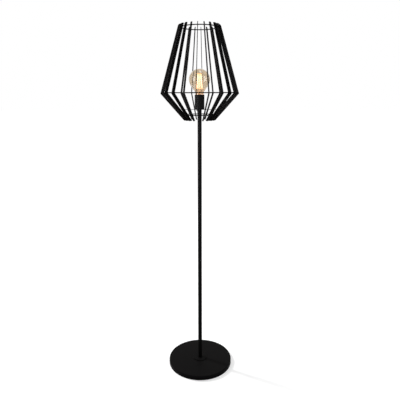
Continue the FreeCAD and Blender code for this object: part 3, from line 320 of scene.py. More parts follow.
materials = {
    "black_coat": makeCoat(),
    "cast_iron": makeGrained("castIron", (0.10, 0.098, 0.095), (0.055, 0.052, 0.05),
                             (0.6, 0.8), 0.0004, 320.0, 40.0),
    "felt": makeFelt(),
    "zinc_steel": makeMetal("zincSteel", (0.62, 0.62, 0.60), (0.42, 0.42, 0.40), (0.25, 0.42)),
    "black_rubber": makeGrained("blackRubber", (0.020, 0.020, 0.020), (0.013, 0.013, 0.013),
                                (0.55, 0.72), 0.00004, 900.0, 120.0),
    "lead_sheath": makeGrained("leadSheath", (0.024, 0.024, 0.024), (0.017, 0.017, 0.017),
                               (0.5, 0.6), 0.00003, 1200.0, 80.0),
    "core_brown": makeGrained("coreBrown", (0.16, 0.06, 0.03), (0.12, 0.045, 0.022),
                              (0.4, 0.5), 0.00002),
    "core_blue": makeGrained("coreBlue", (0.03, 0.12, 0.40), (0.024, 0.09, 0.32),
                             (0.4, 0.5), 0.00002),
    "holder_plastic": makeGrained("holderPlastic", (0.016, 0.016, 0.016), (0.010, 0.010, 0.010),
                                  (0.38, 0.5), 0.00003, 1300.0, 60.0, Specular_IOR_Level=0.35),
    "ceramic_white": makeGrained("deckCeramic", (0.82, 0.80, 0.75), (0.72, 0.69, 0.63),
                                 (0.45, 0.65), 0.00005, 600.0, 90.0),
    "brass_parts": makeMetal("stampedBrass", (0.78, 0.58, 0.28), (0.52, 0.35, 0.15), (0.2, 0.38)),
    "bulb_glass": makeBulbGlass(),
    "bulb_cap": makeMetal("capBrass", (0.80, 0.68, 0.45), (0.60, 0.47, 0.27), (0.22, 0.36)),
    "cap_glass": makeGrained("capGlass", (0.012, 0.012, 0.015), (0.02, 0.02, 0.024),
                             (0.08, 0.2), 0.0001, 200.0, 120.0),
    "solder": makeMetal("solderTin", (0.66, 0.66, 0.66), (0.45, 0.45, 0.46), (0.3, 0.5)),
    "stem_glass": makeStemGlass(),
    "filament_glow": makeGlow(),
    "hook_wire": makeMetal("hookWire", (0.42, 0.38, 0.34), (0.25, 0.2, 0.16), (0.3, 0.45)),
}
print("materials made:", len(materials))


# ---- ways of making pieces

def newPiece(name, shape):
    # object from a bmesh
    mesh = bpy.data.meshes.new(name)
    shape.to_mesh(mesh)
    shape.free()
    piece = bpy.data.objects.new(name, mesh)
    bpy.context.scene.collection.objects.link(piece)
    return piece


def finished(piece):
    # the piece with its modifiers made into plain mesh
    graph = bpy.context.evaluated_depsgraph_get()
    mesh = bpy.data.meshes.new_from_object(piece.evaluated_get(graph))
    piece.modifiers.clear()
    piece.data = mesh
    return piece


def place(piece, body, slotName, *replaced, sharp=32.0):
    mesh = piece.data
    mesh.materials.clear()
    mesh.materials.append(materials[slotName])
    for polygon in mesh.polygons:
        polygon.use_smooth = True
        polygon.material_index = 0
    mesh.set_sharp_from_angle(angle=math.radians(sharp))
    shading = piece.modifiers.new("flatFacesStayFlat", "WEIGHTED_NORMAL")
    shading.keep_sharp = True
    finished(piece)
    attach(piece, body)
    if replaced:
        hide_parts(*replaced)
    return piece


def roundCorners(corners, steps=5):
    # corners are (radius, height, rounding); returns points in metres
    line = []
    for index, corner in enumerate(corners):
        here = Vector(corner[:2])
        rounding = corner[2] if len(corner) > 2 else 0.0
        if rounding == 0.0:
            line.append(here * mm)
            continue
        back = (Vector(corners[index - 1][:2]) - here).normalized()
        ahead = (Vector(corners[(index + 1) % len(corners)][:2]) - here).normalized()
        half = back.angle(ahead) / 2
        centre = here + (back + ahead).normalized() * rounding / math.sin(half)
        start = (here + back * rounding / math.tan(half) - centre).normalized()
        end = (here + ahead * rounding / math.tan(half) - centre).normalized()
        for step in range(steps + 1):
            line.append((centre + start.slerp(end, step / steps) * rounding) * mm)
    return line


def lathe(name, line, around=128, wave=None):
    # turns a closed section, or one that starts and ends on the axis, about the upright axis
    shape = bmesh.new()
    rows = []
    for radius, height in line:
        if radius < 1e-7:
            rows.append([shape.verts.new((0.0, 0.0, height))])
            continue
        row = []
        for step in range(around):
            angle = 2 * math.pi * step / around
            reach = radius + (wave(angle, height) if wave else 0.0)
            row.append(shape.verts.new((reach * math.cos(angle), reach * math.sin(angle), height)))
        rows.append(row)
    onAxis = len(rows[0]) == 1
    for index in range(len(rows) - 1 if onAxis else len(rows)):
        low, high = rows[index], rows[(index + 1) % len(rows)]
        for step in range(around):
            after = (step + 1) % around
            ring = [low[step % len(low)], low[after % len(low)],
                    high[after % len(high)], high[step % len(high)]]
            shape.faces.new(list(dict.fromkeys(ring)))
    bmesh.ops.recalc_face_normals(shape, faces=shape.faces)
    return newPiece(name, shape)


def cutArch(piece, halfWidth, springHeight, fromY, toY):
    # cuts an upright slot with a round top along Y
    outline = [(halfWidth, -5.0)]
    outline += [(halfWidth * math.cos(math.pi * step / 12),
                 springHeight + halfWidth * math.sin(math.pi * step / 12)) for step in range(13)]
    outline.append((-halfWidth, -5.0))
    shape = bmesh.new()
    verts = [shape.verts.new((x * mm, fromY * mm, z * mm)) for x, z in outline]
    face = shape.faces.new(verts)
    grown = bmesh.ops.extrude_face_region(shape, geom=[face])
    moved = [item for item in grown["geom"] if isinstance(item, bmesh.types.BMVert)]
    bmesh.ops.translate(shape, verts=moved, vec=(0.0, (toY - fromY) * mm, 0.0))
    bmesh.ops.recalc_face_normals(shape, faces=shape.faces)
    cutter = newPiece("cutter", shape)
    cut = piece.modifiers.new("cut", "BOOLEAN")
    cut.operation = "DIFFERENCE"
    cut.object = cutter
    cut.solver = "EXACT"
    finished(piece)
    bpy.data.objects.remove(cutter)
    return piece


def softened(name, nodeName, edge=0.25, segments=2, limit=35.0):
    # merged copy of a CAD node with its flat faces whole and its edges broken
    shape = bmesh.new()
    shape.from_mesh(nodes[nodeName].data)
    bmesh.ops.remove_doubles(shape, verts=shape.verts, dist=2e-6)
    bmesh.ops.dissolve_limit(shape, angle_limit=math.radians(0.6),
                             verts=shape.verts, edges=shape.edges)
    bmesh.ops.recalc_face_normals(shape, faces=shape.faces)
    piece = newPiece(name, shape)
    bevel = piece.modifiers.new("edge", "BEVEL")
    bevel.width = edge * mm
    bevel.segments = segments
    bevel.limit_method = "ANGLE"
    bevel.angle_limit = math.radians(limit)
    return finished(piece)


def newTree(name, inputs):
    tree = bpy.data.node_groups.new(name, "GeometryNodeTree")
    tree.interface.new_socket("Geometry", in_out="INPUT", socket_type="NodeSocketGeometry")
    for label, value in inputs.items():
        kind = "NodeSocketInt" if isinstance(value, int) else "NodeSocketFloat"
        tree.interface.new_socket(label, in_out="INPUT", socket_type=kind).default_value = value
    tree.interface.new_socket("Material", in_out="INPUT", socket_type="NodeSocketMaterial")
    tree.interface.new_socket("Geometry", in_out="OUTPUT", socket_type="NodeSocketGeometry")
    return tree, tree.nodes.new("NodeGroupInput"), tree.nodes.new("NodeGroupOutput")


def endTree(tree, given, result, geometry):
    # every tree ends in real geometry with its material
    real = tree.nodes.new("GeometryNodeRealizeInstances")
    coat = tree.nodes.new("GeometryNodeSetMaterial")
    tree.links.new(geometry, real.inputs["Geometry"])
    tree.links.new(real.outputs["Geometry"], coat.inputs["Geometry"])
    tree.links.new(given.outputs["Material"], coat.inputs["Material"])
    tree.links.new(coat.outputs["Geometry"], result.inputs["Geometry"])


def grow(piece, tree, material, **values):
    # runs a tree on a piece and keeps the result as its mesh
    modifier = piece.modifiers.new(tree.name, "NODES")
    modifier.node_group = tree
    values["Material"] = material
    for item in tree.interface.items_tree:
        if item.in_out == "INPUT" and item.name.replace(" ", "_") in values:
            modifier[item.identifier] = values[item.name.replace(" ", "_")]
    return finished(piece)


def wirePiece(name, runs, thickness, sides):
    # round wire along runs of points, in metres
    curve = bpy.data.curves.new(name, "CURVE")
    curve.dimensions = "3D"
    curve.bevel_depth = thickness
    curve.bevel_resolution = sides
    curve.use_fill_caps = True
    curve.resolution_u = 6
    for points in runs:
        spline = curve.splines.new("NURBS")
        spline.points.add(len(points) - 1)
        for point, at in zip(spline.points, points):
            point.co = (*at, 1.0)
        spline.order_u = 3
        spline.use_endpoint_u = True
    drawn = bpy.data.objects.new(name, curve)
    bpy.context.scene.collection.objects.link(drawn)
    graph = bpy.context.evaluated_depsgraph_get()
    mesh = bpy.data.meshes.new_from_object(drawn.evaluated_get(graph))
    bpy.data.objects.remove(drawn)
    piece = bpy.data.objects.new(name, mesh)
    bpy.context.scene.collection.objects.link(piece)
    return piece


def polar(radius, degrees, height):
    angle = math.radians(degrees)
    return Vector((radius * math.cos(angle), radius * math.sin(angle), height)) * mm


# ---- base

def makeBase():
    base = {"radius": 153.5, "height": 21.0, "wall": 1.5, "edge": 3.0, "lift": 0.6,
            "poleHole": 9.75, "inletHeight": 5.2, "inletHalf": 3.85,
            "discRadius": 34.5, "discThickness": 2.6, "discEdge": 0.9, "discBore": 9.55}
    under = base["height"] - base["wall"]
    inside = base["radius"] - base["wall"]
    cover = lathe("baseCover", roundCorners([
        (base["poleHole"], under), (inside, under, base["edge"] - base["wall"]),
        (inside, base["lift"]), (base["radius"], base["lift"], 0.4),
        (base["radius"], base["height"], base["edge"]),
        (base["poleHole"], base["height"], 0.3)], 8), 256)
    cutArch(cover, base["inletHalf"], base["inletHeight"], inside - 8.0, base["radius"] + 8.0)
    place(cover, "stand", "black_coat", "base_cover")

    low, high = base["height"], base["height"] + base["discThickness"]
    disc = lathe("footDisc", roundCorners([
        (base["discBore"], low), (base["discRadius"], low),
        (base["discRadius"], high, base["discEdge"]), (base["discBore"], high, 0.25)], 6), 192)
    place(disc, "stand", "black_coat", "foot_disc")

    bush = {"inner": 150.2, "bore": 2.8, "neck": 3.8, "flange": 4.8,
            "wallInside": 151.8, "lipStart": 153.5, "lipEnd": 154.9}
    line = roundCorners([
        (bush["bore"], bush["inner"], 0.2), (bush["flange"], bush["inner"], 0.4),
        (bush["flange"], bush["wallInside"], 0.3), (bush["neck"], bush["wallInside"]),
        (bush["neck"], bush["lipStart"]), (bush["flange"], bush["lipStart"], 0.2),
        (bush["flange"], bush["lipEnd"], 0.8), (bush["bore"], bush["lipEnd"], 0.4)], 4)
    gland = lathe("cordBush", line, 64)
    gland.data.transform(Matrix.Translation((0.0, 0.0, base["inletHeight"] * mm))
                         @ Matrix.Rotation(math.radians(-90), 4, "X"))
    place(gland, "stand", "black_rubber", "cord_bush")

    place(softened("baseWeight", "base_weight", 0.6), "stand", "cast_iron", "base_weight")
    place(softened("feltRing", "base_pad", 0.4), "stand", "felt", "base_pad")
    place(softened("clampWasher", "clamp_washer", 0.2), "stand", "zinc_steel", "clamp_washer")
    place(softened("ringNut", "ring_nut", 0.3), "stand", "zinc_steel", "ring_nut")


makeBase()
print("base made")


# ---- pole and what it hides

def makePole():
    pole = {"radius": 9.5, "wall": 1.5, "foot": 2.3, "top": 1253.5,
            "slotHalf": 3.0, "slotHeight": 5.2}
    bore = pole["radius"] - pole["wall"]
    line = roundCorners([
        (pole["radius"], pole["foot"], 0.3), (pole["radius"], pole["top"], 0.3),
        (bore, pole["top"], 0.2), (bore, pole["foot"], 0.2)], 3)
    tube = lathe("poleTube", line, 128)
    cutArch(tube, pole["slotHalf"], pole["slotHeight"], 0.0, 20.0)
    place(tube, "stand", "black_coat", "pole")
    place(softened("polePlug", "pole_plug", 0.2), "stand", "zinc_steel", "pole_plug")
    place(softened("threadedTube", "threaded_tube", 0.3), "stand", "zinc_steel", "threaded_tube")
    for name, slotName in (("inner_lead", "lead_sheath"), ("core_live", "core_brown"),
                           ("core_neutral", "core_blue")):
        nodes[name].data.materials.clear()
        nodes[name].data.materials.append(materials[slotName])


makePole()
print("pole made")


# ---- cage

def turnByIndex(tree, count):
    # each point's own share of a whole turn about the upright axis
    index = tree.nodes.new("GeometryNodeInputIndex")
    share = mathNode(tree, "DIVIDE", index.outputs[0], count)
    turn = tree.nodes.new("ShaderNodeCombineXYZ")
    tree.links.new(mathNode(tree, "MULTIPLY", share, 2 * math.pi), turn.inputs["Z"])
    return turn.outputs[0]


def buildBarTree():
    # the given bar, repeated about the pole's axis
    tree, given, result = newTree("barsRoundPole", {"Bar Count": 20})
    start = tree.nodes.new("GeometryNodePoints")
    turned = tree.nodes.new("GeometryNodeInstanceOnPoints")
    tree.links.new(given.outputs["Bar Count"], start.inputs["Count"])
    tree.links.new(start.outputs["Points"], turned.inputs["Points"])
    tree.links.new(given.outputs["Geometry"], turned.inputs["Instance"])
    tree.links.new(turnByIndex(tree, given.outputs["Bar Count"]), turned.inputs["Rotation"])
    endTree(tree, given, result, turned.outputs["Instances"])
    return tree


def buildRingTree():
    # wire ring, with a small weld on both sides of every bar
    tree, given, result = newTree("weldedRing", {
        "Radius": 0.08, "Height": 1.6, "Wire": 0.0023, "Bar Count": 20, "First Angle": 0.0,
        "Weld Size": 0.0012, "Weld Offset": 0.0016})
    circle = tree.nodes.new("GeometryNodeCurvePrimitiveCircle")
    circle.inputs["Resolution"].default_value = 200
    section = tree.nodes.new("GeometryNodeCurvePrimitiveCircle")
    section.inputs["Resolution"].default_value = 20
    sweep = tree.nodes.new("GeometryNodeCurveToMesh")
    tree.links.new(given.outputs["Radius"], circle.inputs["Radius"])
    tree.links.new(given.outputs["Wire"], section.inputs["Radius"])
    tree.links.new(circle.outputs["Curve"], sweep.inputs["Curve"])
    tree.links.new(section.outputs["Curve"], sweep.inputs["Profile Curve"])
    joined = tree.nodes.new("GeometryNodeJoinGeometry")
    tree.links.new(sweep.outputs["Mesh"], joined.inputs["Geometry"])
    beadScale = (1.6, 1.0, 1.9)  # out from the pole, along the ring, up
    for side in (-1.0, 1.0):
        spots = tree.nodes.new("GeometryNodeMeshCircle")
        bead = tree.nodes.new("GeometryNodeMeshIcoSphere")
        bead.inputs["Subdivisions"].default_value = 2
        put = tree.nodes.new("GeometryNodeInstanceOnPoints")
        put.inputs["Scale"].default_value = beadScale
        shift = mathNode(tree, "DIVIDE", given.outputs["Weld Offset"], given.outputs["Radius"])
        spin = tree.nodes.new("ShaderNodeCombineXYZ")
        move = tree.nodes.new("GeometryNodeTransform")
        tree.links.new(given.outputs["Bar Count"], spots.inputs["Vertices"])
        tree.links.new(given.outputs["Radius"], spots.inputs["Radius"])
        tree.links.new(given.outputs["Weld Size"], bead.inputs["Radius"])
        tree.links.new(spots.outputs["Mesh"], put.inputs["Points"])
        tree.links.new(bead.outputs["Mesh"], put.inputs["Instance"])
        tree.links.new(turnByIndex(tree, given.outputs["Bar Count"]), put.inputs["Rotation"])
        tree.links.new(mathNode(tree, "MULTIPLY_ADD", shift, side, given.outputs["First Angle"]),
                       spin.inputs["Z"])
        tree.links.new(put.outputs["Instances"], move.inputs["Geometry"])
        tree.links.new(spin.outputs[0], move.inputs["Rotation"])
        tree.links.new(move.outputs["Geometry"], joined.inputs["Geometry"])
    lift = tree.nodes.new("GeometryNodeTransform")
    up = tree.nodes.new("ShaderNodeCombineXYZ")
    tree.links.new(given.outputs["Height"], up.inputs["Z"])
    tree.links.new(joined.outputs["Geometry"], lift.inputs["Geometry"])
    tree.links.new(up.outputs[0], lift.inputs["Translation"])
    endTree(tree, given, result, lift.outputs["Geometry"])
    return tree


def makeCage():
    cage = {"bars": 20, "firstAngle": 13.28 + 270.0, "barEdge": 0.3, "wire": 2.3,
            "weldSize": 1.0, "weldOffset": 1.5}
    bars = softened("cageBars", "slat_01", cage["barEdge"], 3)
    grow(bars, buildBarTree(), materials["black_coat"], Bar_Count=cage["bars"])
    place(bars, "stand", "black_coat", *["slat_%02d" % number for number in range(1, 21)])
    ringTree = buildRingTree()
    for name, nodeName in (("topRing", "ring_top"), ("middleRing", "ring_middle"),
                           ("bottomRing", "ring_bottom")):
        low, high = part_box(nodeName)
        ring = grow(newPiece(name, bmesh.new()), ringTree, materials["black_coat"],
                    Radius=high.x - cage["wire"] * mm, Height=(low.z + high.z) / 2,
                    Wire=cage["wire"] * mm, Bar_Count=cage["bars"],
                    First_Angle=math.radians(cage["firstAngle"]),
                    Weld_Size=cage["weldSize"] * mm, Weld_Offset=cage["weldOffset"] * mm)
        place(ring, "stand", "black_coat", nodeName, sharp=60.0)
    place(softened("cageCarrier", "cage_carrier", 0.25, limit=50.0), "stand", "black_coat",
          "cage_carrier")


makeCage()
print("cage made")


# ---- lampholder

thread = {"pitch": 3.629, "depth": 0.42, "bulbSeat": 1286.2, "fade": 1.2}  # rolled 27 mm screw


def threadWave(low, high):
    # sideways wave of the screw at an angle and height, fading out past both ends
    def wave(angle, height):
        inside = min(height / mm - low, high - height / mm) / thread["fade"]
        fade = min(1.0, max(0.0, inside))
        phase = 2 * math.pi * (height / mm - thread["bulbSeat"]) / thread["pitch"] - angle
        return thread["depth"] * mm * fade * math.cos(phase)
    return wave


def makeHolder():
    cup = {"radius": 21.95, "wall": 1.2, "foot": 1255.0, "top": 1319.8,
           "edge": 1.5, "lip": 0.5, "hole": 5.25}
    inside = cup["radius"] - cup["wall"]
    floor = cup["foot"] + cup["wall"]
    wall = lathe("holderCup", roundCorners([
        (cup["hole"], cup["foot"]), (cup["radius"], cup["foot"], cup["edge"]),
        (cup["radius"], cup["top"], cup["lip"]), (inside, cup["top"], cup["lip"]),
        (inside, floor, 0.8), (cup["hole"], floor)], 6), 160)
    place(wall, "stand", "black_coat", "holder_cup")
    place(softened("cupNut", "cup_nut", 0.3), "stand", "zinc_steel", "cup_nut")

    holder = {"radius": 19.2, "bore": 17.3, "seat": 1259.3, "split": 1277.3, "top": 1309.3,
              "floor": 2.5, "tube": 5.05, "boss": 7.95, "bossTop": 1265.3, "gap": 0.1,
              "step": 0.8, "stepLow": 1303.0, "pocket": 14.0, "deckTop": 1281.4}
    deckTop = holder["deckTop"]
    stepped = holder["radius"] - holder["step"]
    lower = lathe("holderLower", roundCorners([
        (holder["tube"], holder["seat"]), (holder["radius"], holder["seat"], 1.6),
        (holder["radius"], holder["split"], 0.2), (holder["bore"], holder["split"], 0.2),
        (holder["bore"], holder["seat"] + holder["floor"], 0.6),
        (holder["boss"], holder["seat"] + holder["floor"], 0.6),
        (holder["boss"], holder["bossTop"], 0.3), (holder["tube"], holder["bossTop"], 0.3)],
        4), 96)
    place(lower, "stand", "holder_plastic", "holder_lower")

    foot = holder["split"] + holder["gap"]
    upper = lathe("holderUpper", roundCorners([
        (holder["bore"], foot), (holder["radius"], foot, 0.2),
        (holder["radius"], holder["stepLow"], 0.4),
        (stepped, holder["stepLow"] + holder["step"], 0.3), (stepped, holder["top"], 0.9),
        (holder["pocket"], holder["top"], 0.6), (holder["pocket"], deckTop + holder["gap"]),
        (holder["bore"], deckTop + holder["gap"])], 4), 96)
    place(upper, "stand", "holder_plastic", "holder_upper")

    shell = {"foot": 9.0, "sheet": 0.4, "rim": 0.65, "rimInner": 0.3, "floor": 0.5,
             "top": 1307.4, "steps": 90}
    low, high = deckTop + 1.0, shell["top"] - 0.5
    middle = 13.1 - thread["depth"] + 0.3  # 0.3 outside the bulb's cap
    rises = [low + (high - low) * step / shell["steps"] for step in range(shell["steps"] + 1)]
    line = [(shell["foot"], deckTop), (middle + shell["sheet"], deckTop)]
    line += [(middle + shell["sheet"], rise) for rise in rises]
    line += [(middle + shell["rim"], shell["top"]), (middle + shell["rimInner"], shell["top"])]
    line += [(middle, high - (high - low) * step / shell["steps"])
             for step in range(shell["steps"] + 1)]
    line += [(middle, deckTop + shell["floor"]), (shell["foot"], deckTop + shell["floor"])]
    screw = lathe("screwShell", [(radius * mm, height * mm) for radius, height in line], 72,
                  threadWave(low, high))
    place(screw, "stand", "brass_parts", "screw_shell", sharp=50.0)

    place(softened("ceramicDeck", "ceramic_deck", 0.4), "stand", "ceramic_white", "ceramic_deck")
    place(softened("centreContact", "centre_contact", 0.12), "stand", "brass_parts",
          "centre_contact")
    place(softened("terminalBlocks", "terminal_blocks", 0.3), "stand", "brass_parts",
          "terminal_blocks")
    place(softened("terminalScrews", "terminal_screws", 0.2), "stand", "zinc_steel",
          "terminal_screws")


makeHolder()
print("lampholder made")


# ---- bulb

def makeBulb():
    seat = thread["bulbSeat"]
    glass = {"globe": 47.5, "rise": 100.1, "wall": 1.0, "lean": 35.0, "neck": 18.7,
             "neckRound": 12.0, "shoulder": 32.6, "shoulderRound": 5.0,
             "seal": 12.4, "sealTop": 25.5, "foot": 17.0}

    def skinLine(depth):
        # outside of the glass at a depth under its surface, from the foot to the crown
        radius = glass["globe"] - depth
        neck = glass["neck"] - depth
        lean = math.radians(glass["lean"])
        leanHeight = glass["rise"] - radius * math.sin(lean)
        neckTop = leanHeight - (radius * math.cos(lean) - neck) / math.tan(lean)
        line = roundCorners([
            (0.0, glass["foot"]), (glass["seal"] - depth, glass["foot"]),
            (glass["seal"] - depth, glass["sealTop"] + depth / 2, 2.0),
            (neck, glass["shoulder"] + depth / 2, glass["shoulderRound"] - depth),
            (neck, neckTop, glass["neckRound"] + depth),
            (radius * math.cos(lean), leanHeight)], 8)[1:]
        count = 56
        for step in range(1, count + 1):
            angle = -lean + (math.pi / 2 + lean) * step / count
            line.append(Vector((radius * math.cos(angle),
                                glass["rise"] + radius * math.sin(angle))) * mm)
        line[-1].x = 0.0
        return [Vector((point.x, point.y + seat * mm)) for point in line]

    outer = skinLine(0.0)
    inner = skinLine(glass["wall"])
    globe = lathe("bulbGlass", outer[::-1] + inner, 128)
    place(globe, "bulb", "bulb_glass", "bulb_glass", sharp=50.0)

    cap = {"radius": 13.1, "wall": 0.4, "foot": 5.2, "coneTop": 7.8, "top": 25.5,
           "footRadius": 10.6}
    middle = cap["radius"] - thread["depth"]
    steps = 84
    low, high = seat + cap["coneTop"], seat + cap["top"] - 0.9
    line = [(cap["footRadius"], seat + cap["foot"])]
    line += [(middle, low + (high - low) * step / steps) for step in range(steps + 1)]
    line += [(middle + 0.15, seat + cap["top"]), (middle - 0.2, seat + cap["top"])]
    line += [(middle - cap["wall"], high - (high - low) * step / steps)
             for step in range(steps + 1)]
    line += [(cap["footRadius"] - cap["wall"], seat + cap["foot"])]
    sleeve = lathe("bulbCap", [(radius * mm, height * mm) for radius, height in line], 72,
                   threadWave(low, high))
    place(sleeve, "bulb", "bulb_cap", "bulb_cap", sharp=50.0)

    insulator = lathe("capInsulator", [Vector((x, z + seat * mm)) for x, z in roundCorners([
        (0.0, 1.2), (4.8, 1.2), (6.4, 2.0, 0.8), (10.6, 5.2), (0.0, 5.2)], 4)], 72)
    place(insulator, "bulb", "cap_glass", "cap_insulator")
    tip = lathe("solderTip", [Vector((x, z + seat * mm)) for x, z in roundCorners([
        (0.0, 0.0), (4.2, 0.0, 0.9), (4.8, 1.2), (0.0, 1.2)], 5)], 48)
    place(tip, "bulb_foot", "solder", "solder_tip")


def makeStem():
    seat = thread["bulbSeat"]
    stem = {"flare": 11.1, "flareRise": 17.6, "tube": 3.2, "tubeRise": 32.0, "press": 45.0,
            "rod": 1.3, "bead": 2.6, "rows": (59.7, 126.2), "top": 127.7}
    corners = [(0.0, stem["tubeRise"]), (stem["flare"] - 0.9, stem["flareRise"], 0.3),
               (stem["flare"], stem["flareRise"], 0.3), (stem["tube"], stem["tubeRise"], 9.0),
               (stem["tube"], stem["press"], 1.5), (stem["rod"], stem["press"] + 3.2, 2.0)]
    for row in stem["rows"]:
        corners += [(stem["rod"], row - 2.4, 0.4), (stem["bead"], row - 1.0, 0.9),
                    (stem["bead"], row + 1.0, 0.9)]
        if row < 100.0:
            corners.append((stem["rod"], row + 2.4, 0.4))
    corners += [(0.0, stem["top"])]
    line = [Vector((x, z + seat * mm)) for x, z in roundCorners(corners, 5)]
    rod = lathe("glassStem", line, 48)
    for vertex in rod.data.vertices:
        rise = vertex.co.z / mm - seat
        pinch = max(0.0, 1.0 - abs(rise - 42.0) / 5.5)  # the press that holds the leads
        vertex.co.x *= 1.0 + 0.25 * pinch
        vertex.co.y *= 1.0 - 0.45 * pinch
    place(rod, "bulb", "stem_glass", "glass_stem", sharp=50.0)


def makeFilament():
    seat = thread["bulbSeat"]
    wire = {"strands": 12, "lowRadius": 12.5, "topRadius": 8.0, "low": 59.7, "top": 126.2,
            "thickness": 0.33, "hook": 0.22, "bead": 2.4}
    gap = 360.0 / wire["strands"]

    def strandPoint(number, share):
        radius = wire["lowRadius"] + (wire["topRadius"] - wire["lowRadius"]) * share
        height = wire["low"] + (wire["top"] - wire["low"]) * share
        return polar(radius, gap * number, seat + height)

    # one wire: up the second strand, then down and up round the cage, and down the first
    path = []
    for turn in range(wire["strands"]):
        number = turn + 1
        shares = (0.0, 0.02, 0.3, 0.7, 0.98, 1.0)
        path += [strandPoint(number, share) for share in (shares if turn % 2 == 0
                                                          else shares[::-1])]
    glow = wirePiece("filament", [path], wire["thickness"] * mm, sides=2)
    place(glow, "bulb", "filament_glow", "filament", sharp=60.0)

    runs = []
    pairs = wire["strands"] // 2
    for radius, height, first, count in ((wire["topRadius"], wire["top"], 1.5, pairs),
                                         (wire["lowRadius"], wire["low"], 2.5, pairs - 1)):
        reach = radius * math.cos(math.radians(gap / 2))
        for number in range(count):
            degrees = gap * (first + 2 * number)
            runs.append([polar(out, degrees, seat + height + up) for out, up in (
                (wire["bead"], 0.0), (reach - 2.0, 0.0), (reach - 0.9, -0.2),
                (reach - 0.2, -0.75), (reach + 0.65, -0.3), (reach + 0.45, 0.55),
                (reach - 0.3, 0.6))])
    hooks = wirePiece("filamentHooks", runs, wire["hook"] * mm, sides=1)
    place(hooks, "bulb", "hook_wire", "filament_hooks", sharp=60.0)

    runs = []
    for number in (0, 1):
        foot = polar(3.3, gap * number, seat + 45.0)
        runs.append([polar(1.6, gap * number, seat + 38.0), foot,
                     polar(8.0, gap * number, seat + 53.0),
                     polar(wire["lowRadius"], gap * number, seat + 57.8),
                     strandPoint(number, 0.03)])
    leads = wirePiece("stemLeads", runs, 0.26 * mm, sides=1)
    place(leads, "bulb", "hook_wire", "stem_leads", sharp=60.0)


makeBulb()
makeStem()
makeFilament()
print("bulb made")


# ---- floor, light and camera

def makeRoomRays(tree):
    # 1 for the rays that should find the room white
    path = tree.nodes.new("ShaderNodeLightPath")
    return mathNode(tree, "MAXIMUM", path.outputs["Is Camera Ray"],
                    mathNode(tree, "MAXIMUM", path.outputs["Is Glossy Ray"],
                             path.outputs["Is Transmission Ray"]))


def makeFloor():
    floorLook = {"size": 30.0, "colour": 0.66, "nearLift": 0.47, "farLift": 0.83,
                 "near": 0.3, "far": 2.5}  # metres
    shape = bmesh.new()
    bmesh.ops.create_grid(shape, x_segments=2, y_segments=2, size=floorLook["size"])
    floor = newPiece("floor", shape)
    material, tree, shader = newMaterial("paleFloor", Roughness=1.0, Specular_IOR_Level=0.0)
    grain = useGroup(tree, surfaceGrain, Fine_Scale=60.0, Slow_Scale=1.5, Slow_Share=0.4)
    pale = floorLook["colour"]
    tree.links.new(mixColours(tree, grain.outputs["Mottle"], (pale,) * 3, (pale * 0.99,) * 3),
                   shader.inputs["Base Color"])
    where = tree.nodes.new("ShaderNodeTexCoord")
    away = addNode(tree, "ShaderNodeVectorMath", operation="LENGTH")
    tree.links.new(where.outputs["Object"], away.inputs[0])
    lift = spread(tree, away.outputs["Value"], floorLook["nearLift"], floorLook["farLift"],
                  floorLook["near"], floorLook["far"])
    tree.links.new(mathNode(tree, "MULTIPLY", makeRoomRays(tree), lift),
                   shader.inputs["Emission Strength"])
    floor.data.materials.append(material)


def makeSky():
    skyLook = {"strength": 0.32}
    world = bpy.data.worlds.new("paleRoom")
    world.use_nodes = True
    bpy.context.scene.world = world
    tree = world.node_tree
    sky = tree.nodes["Background"]
    sky.inputs["Color"].default_value = (1.0, 1.0, 1.0, 1.0)
    strength = mathNode(tree, "MULTIPLY_ADD", makeRoomRays(tree), 1.0 - skyLook["strength"],
                        skyLook["strength"])
    tree.links.new(strength, sky.inputs["Strength"])


def makeSoftBox(name, at, towards, width, height, power, beam=180.0, mirrorOnly=False):
    # either lights the room or shows as a soft patch in what mirrors it, never both
    light = bpy.data.lights.new(name, "AREA")
    light.shape = "RECTANGLE"
    light.size = width
    light.size_y = height
    light.energy = power
    light.spread = math.radians(beam)
    box = bpy.data.objects.new(name, light)
    box.location = at
    box.rotation_euler = (Vector(at) - Vector(towards)).to_track_quat("Z", "Y").to_euler()
    box.visible_camera = False
    box.visible_transmission = False
    box.visible_glossy = mirrorOnly
    box.visible_diffuse = not mirrorOnly
    bpy.context.scene.collection.objects.link(box)


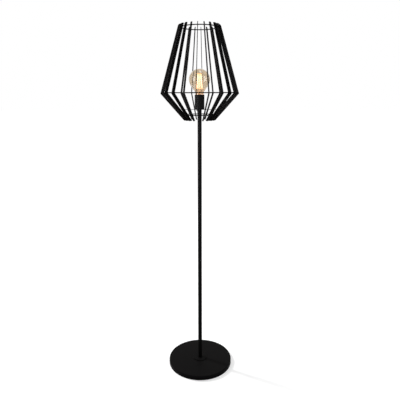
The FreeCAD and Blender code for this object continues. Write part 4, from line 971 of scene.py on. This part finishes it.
def makeLights():
    bulb = (0.0, 0.0, 1.386)
    makeSoftBox("overheadBox", (0.25, 0.25, 2.75), (0.0, 0.0, 0.4), 0.9, 0.9, 20.0)
    makeSoftBox("backBox", (-1.9, 1.0, 2.0), (0.0, 0.0, 0.1), 0.22, 0.22, 62.0)
    makeSoftBox("leftBox", (-1.35, -0.85, 1.7), bulb, 0.55, 0.9, 13.0, 60.0)
    makeSoftBox("rightBox", (1.35, -0.85, 1.7), bulb, 0.6, 1.0, 1.5, 60.0)
    makeSoftBox("overheadPanel", (0.25, 0.0, 2.75), bulb, 0.8, 0.5, 6.0, mirrorOnly=True)
    makeSoftBox("leftPanel", (-1.45, -0.72, 1.6), bulb, 0.75, 1.5, 27.0, mirrorOnly=True)
    makeSoftBox("rightPanel", (1.4, -0.75, 1.5), bulb, 0.75, 1.6, 28.0, mirrorOnly=True)
    glow = bpy.data.lights.new("bulbGlow", "POINT")
    glow.energy = 2.0
    glow.color = (1.0, 0.5, 0.18)
    glow.shadow_soft_size = 0.012
    warm = bpy.data.objects.new("bulbGlow", glow)
    warm.location = bulb
    warm.visible_camera = False
    warm.visible_transmission = False
    warm.visible_glossy = False
    bpy.context.scene.collection.objects.link(warm)


def makeCamera():
    view = {"location": (0.0013, -1.9639, 1.3307), "down": 10.5, "roll": -0.13,
            "lens": 38.76, "shiftY": -0.0698}
    lens = bpy.data.cameras.new("camera")
    lens.lens = view["lens"]
    lens.sensor_width = 36.0
    lens.shift_y = view["shiftY"]
    lens.clip_start = 0.05
    lens.clip_end = 100.0
    camera = bpy.data.objects.new("camera", lens)
    camera.location = view["location"]
    turn = Matrix.Rotation(math.radians(90.0 - view["down"]), 3, "X")
    roll = Matrix.Rotation(math.radians(view["roll"]), 3, "Z")
    camera.rotation_euler = (turn @ roll).to_euler()
    bpy.context.scene.collection.objects.link(camera)
    bpy.context.scene.camera = camera


makeFloor()
makeSky()
makeLights()
makeCamera()
bpy.context.scene.view_settings.view_transform = "Standard"
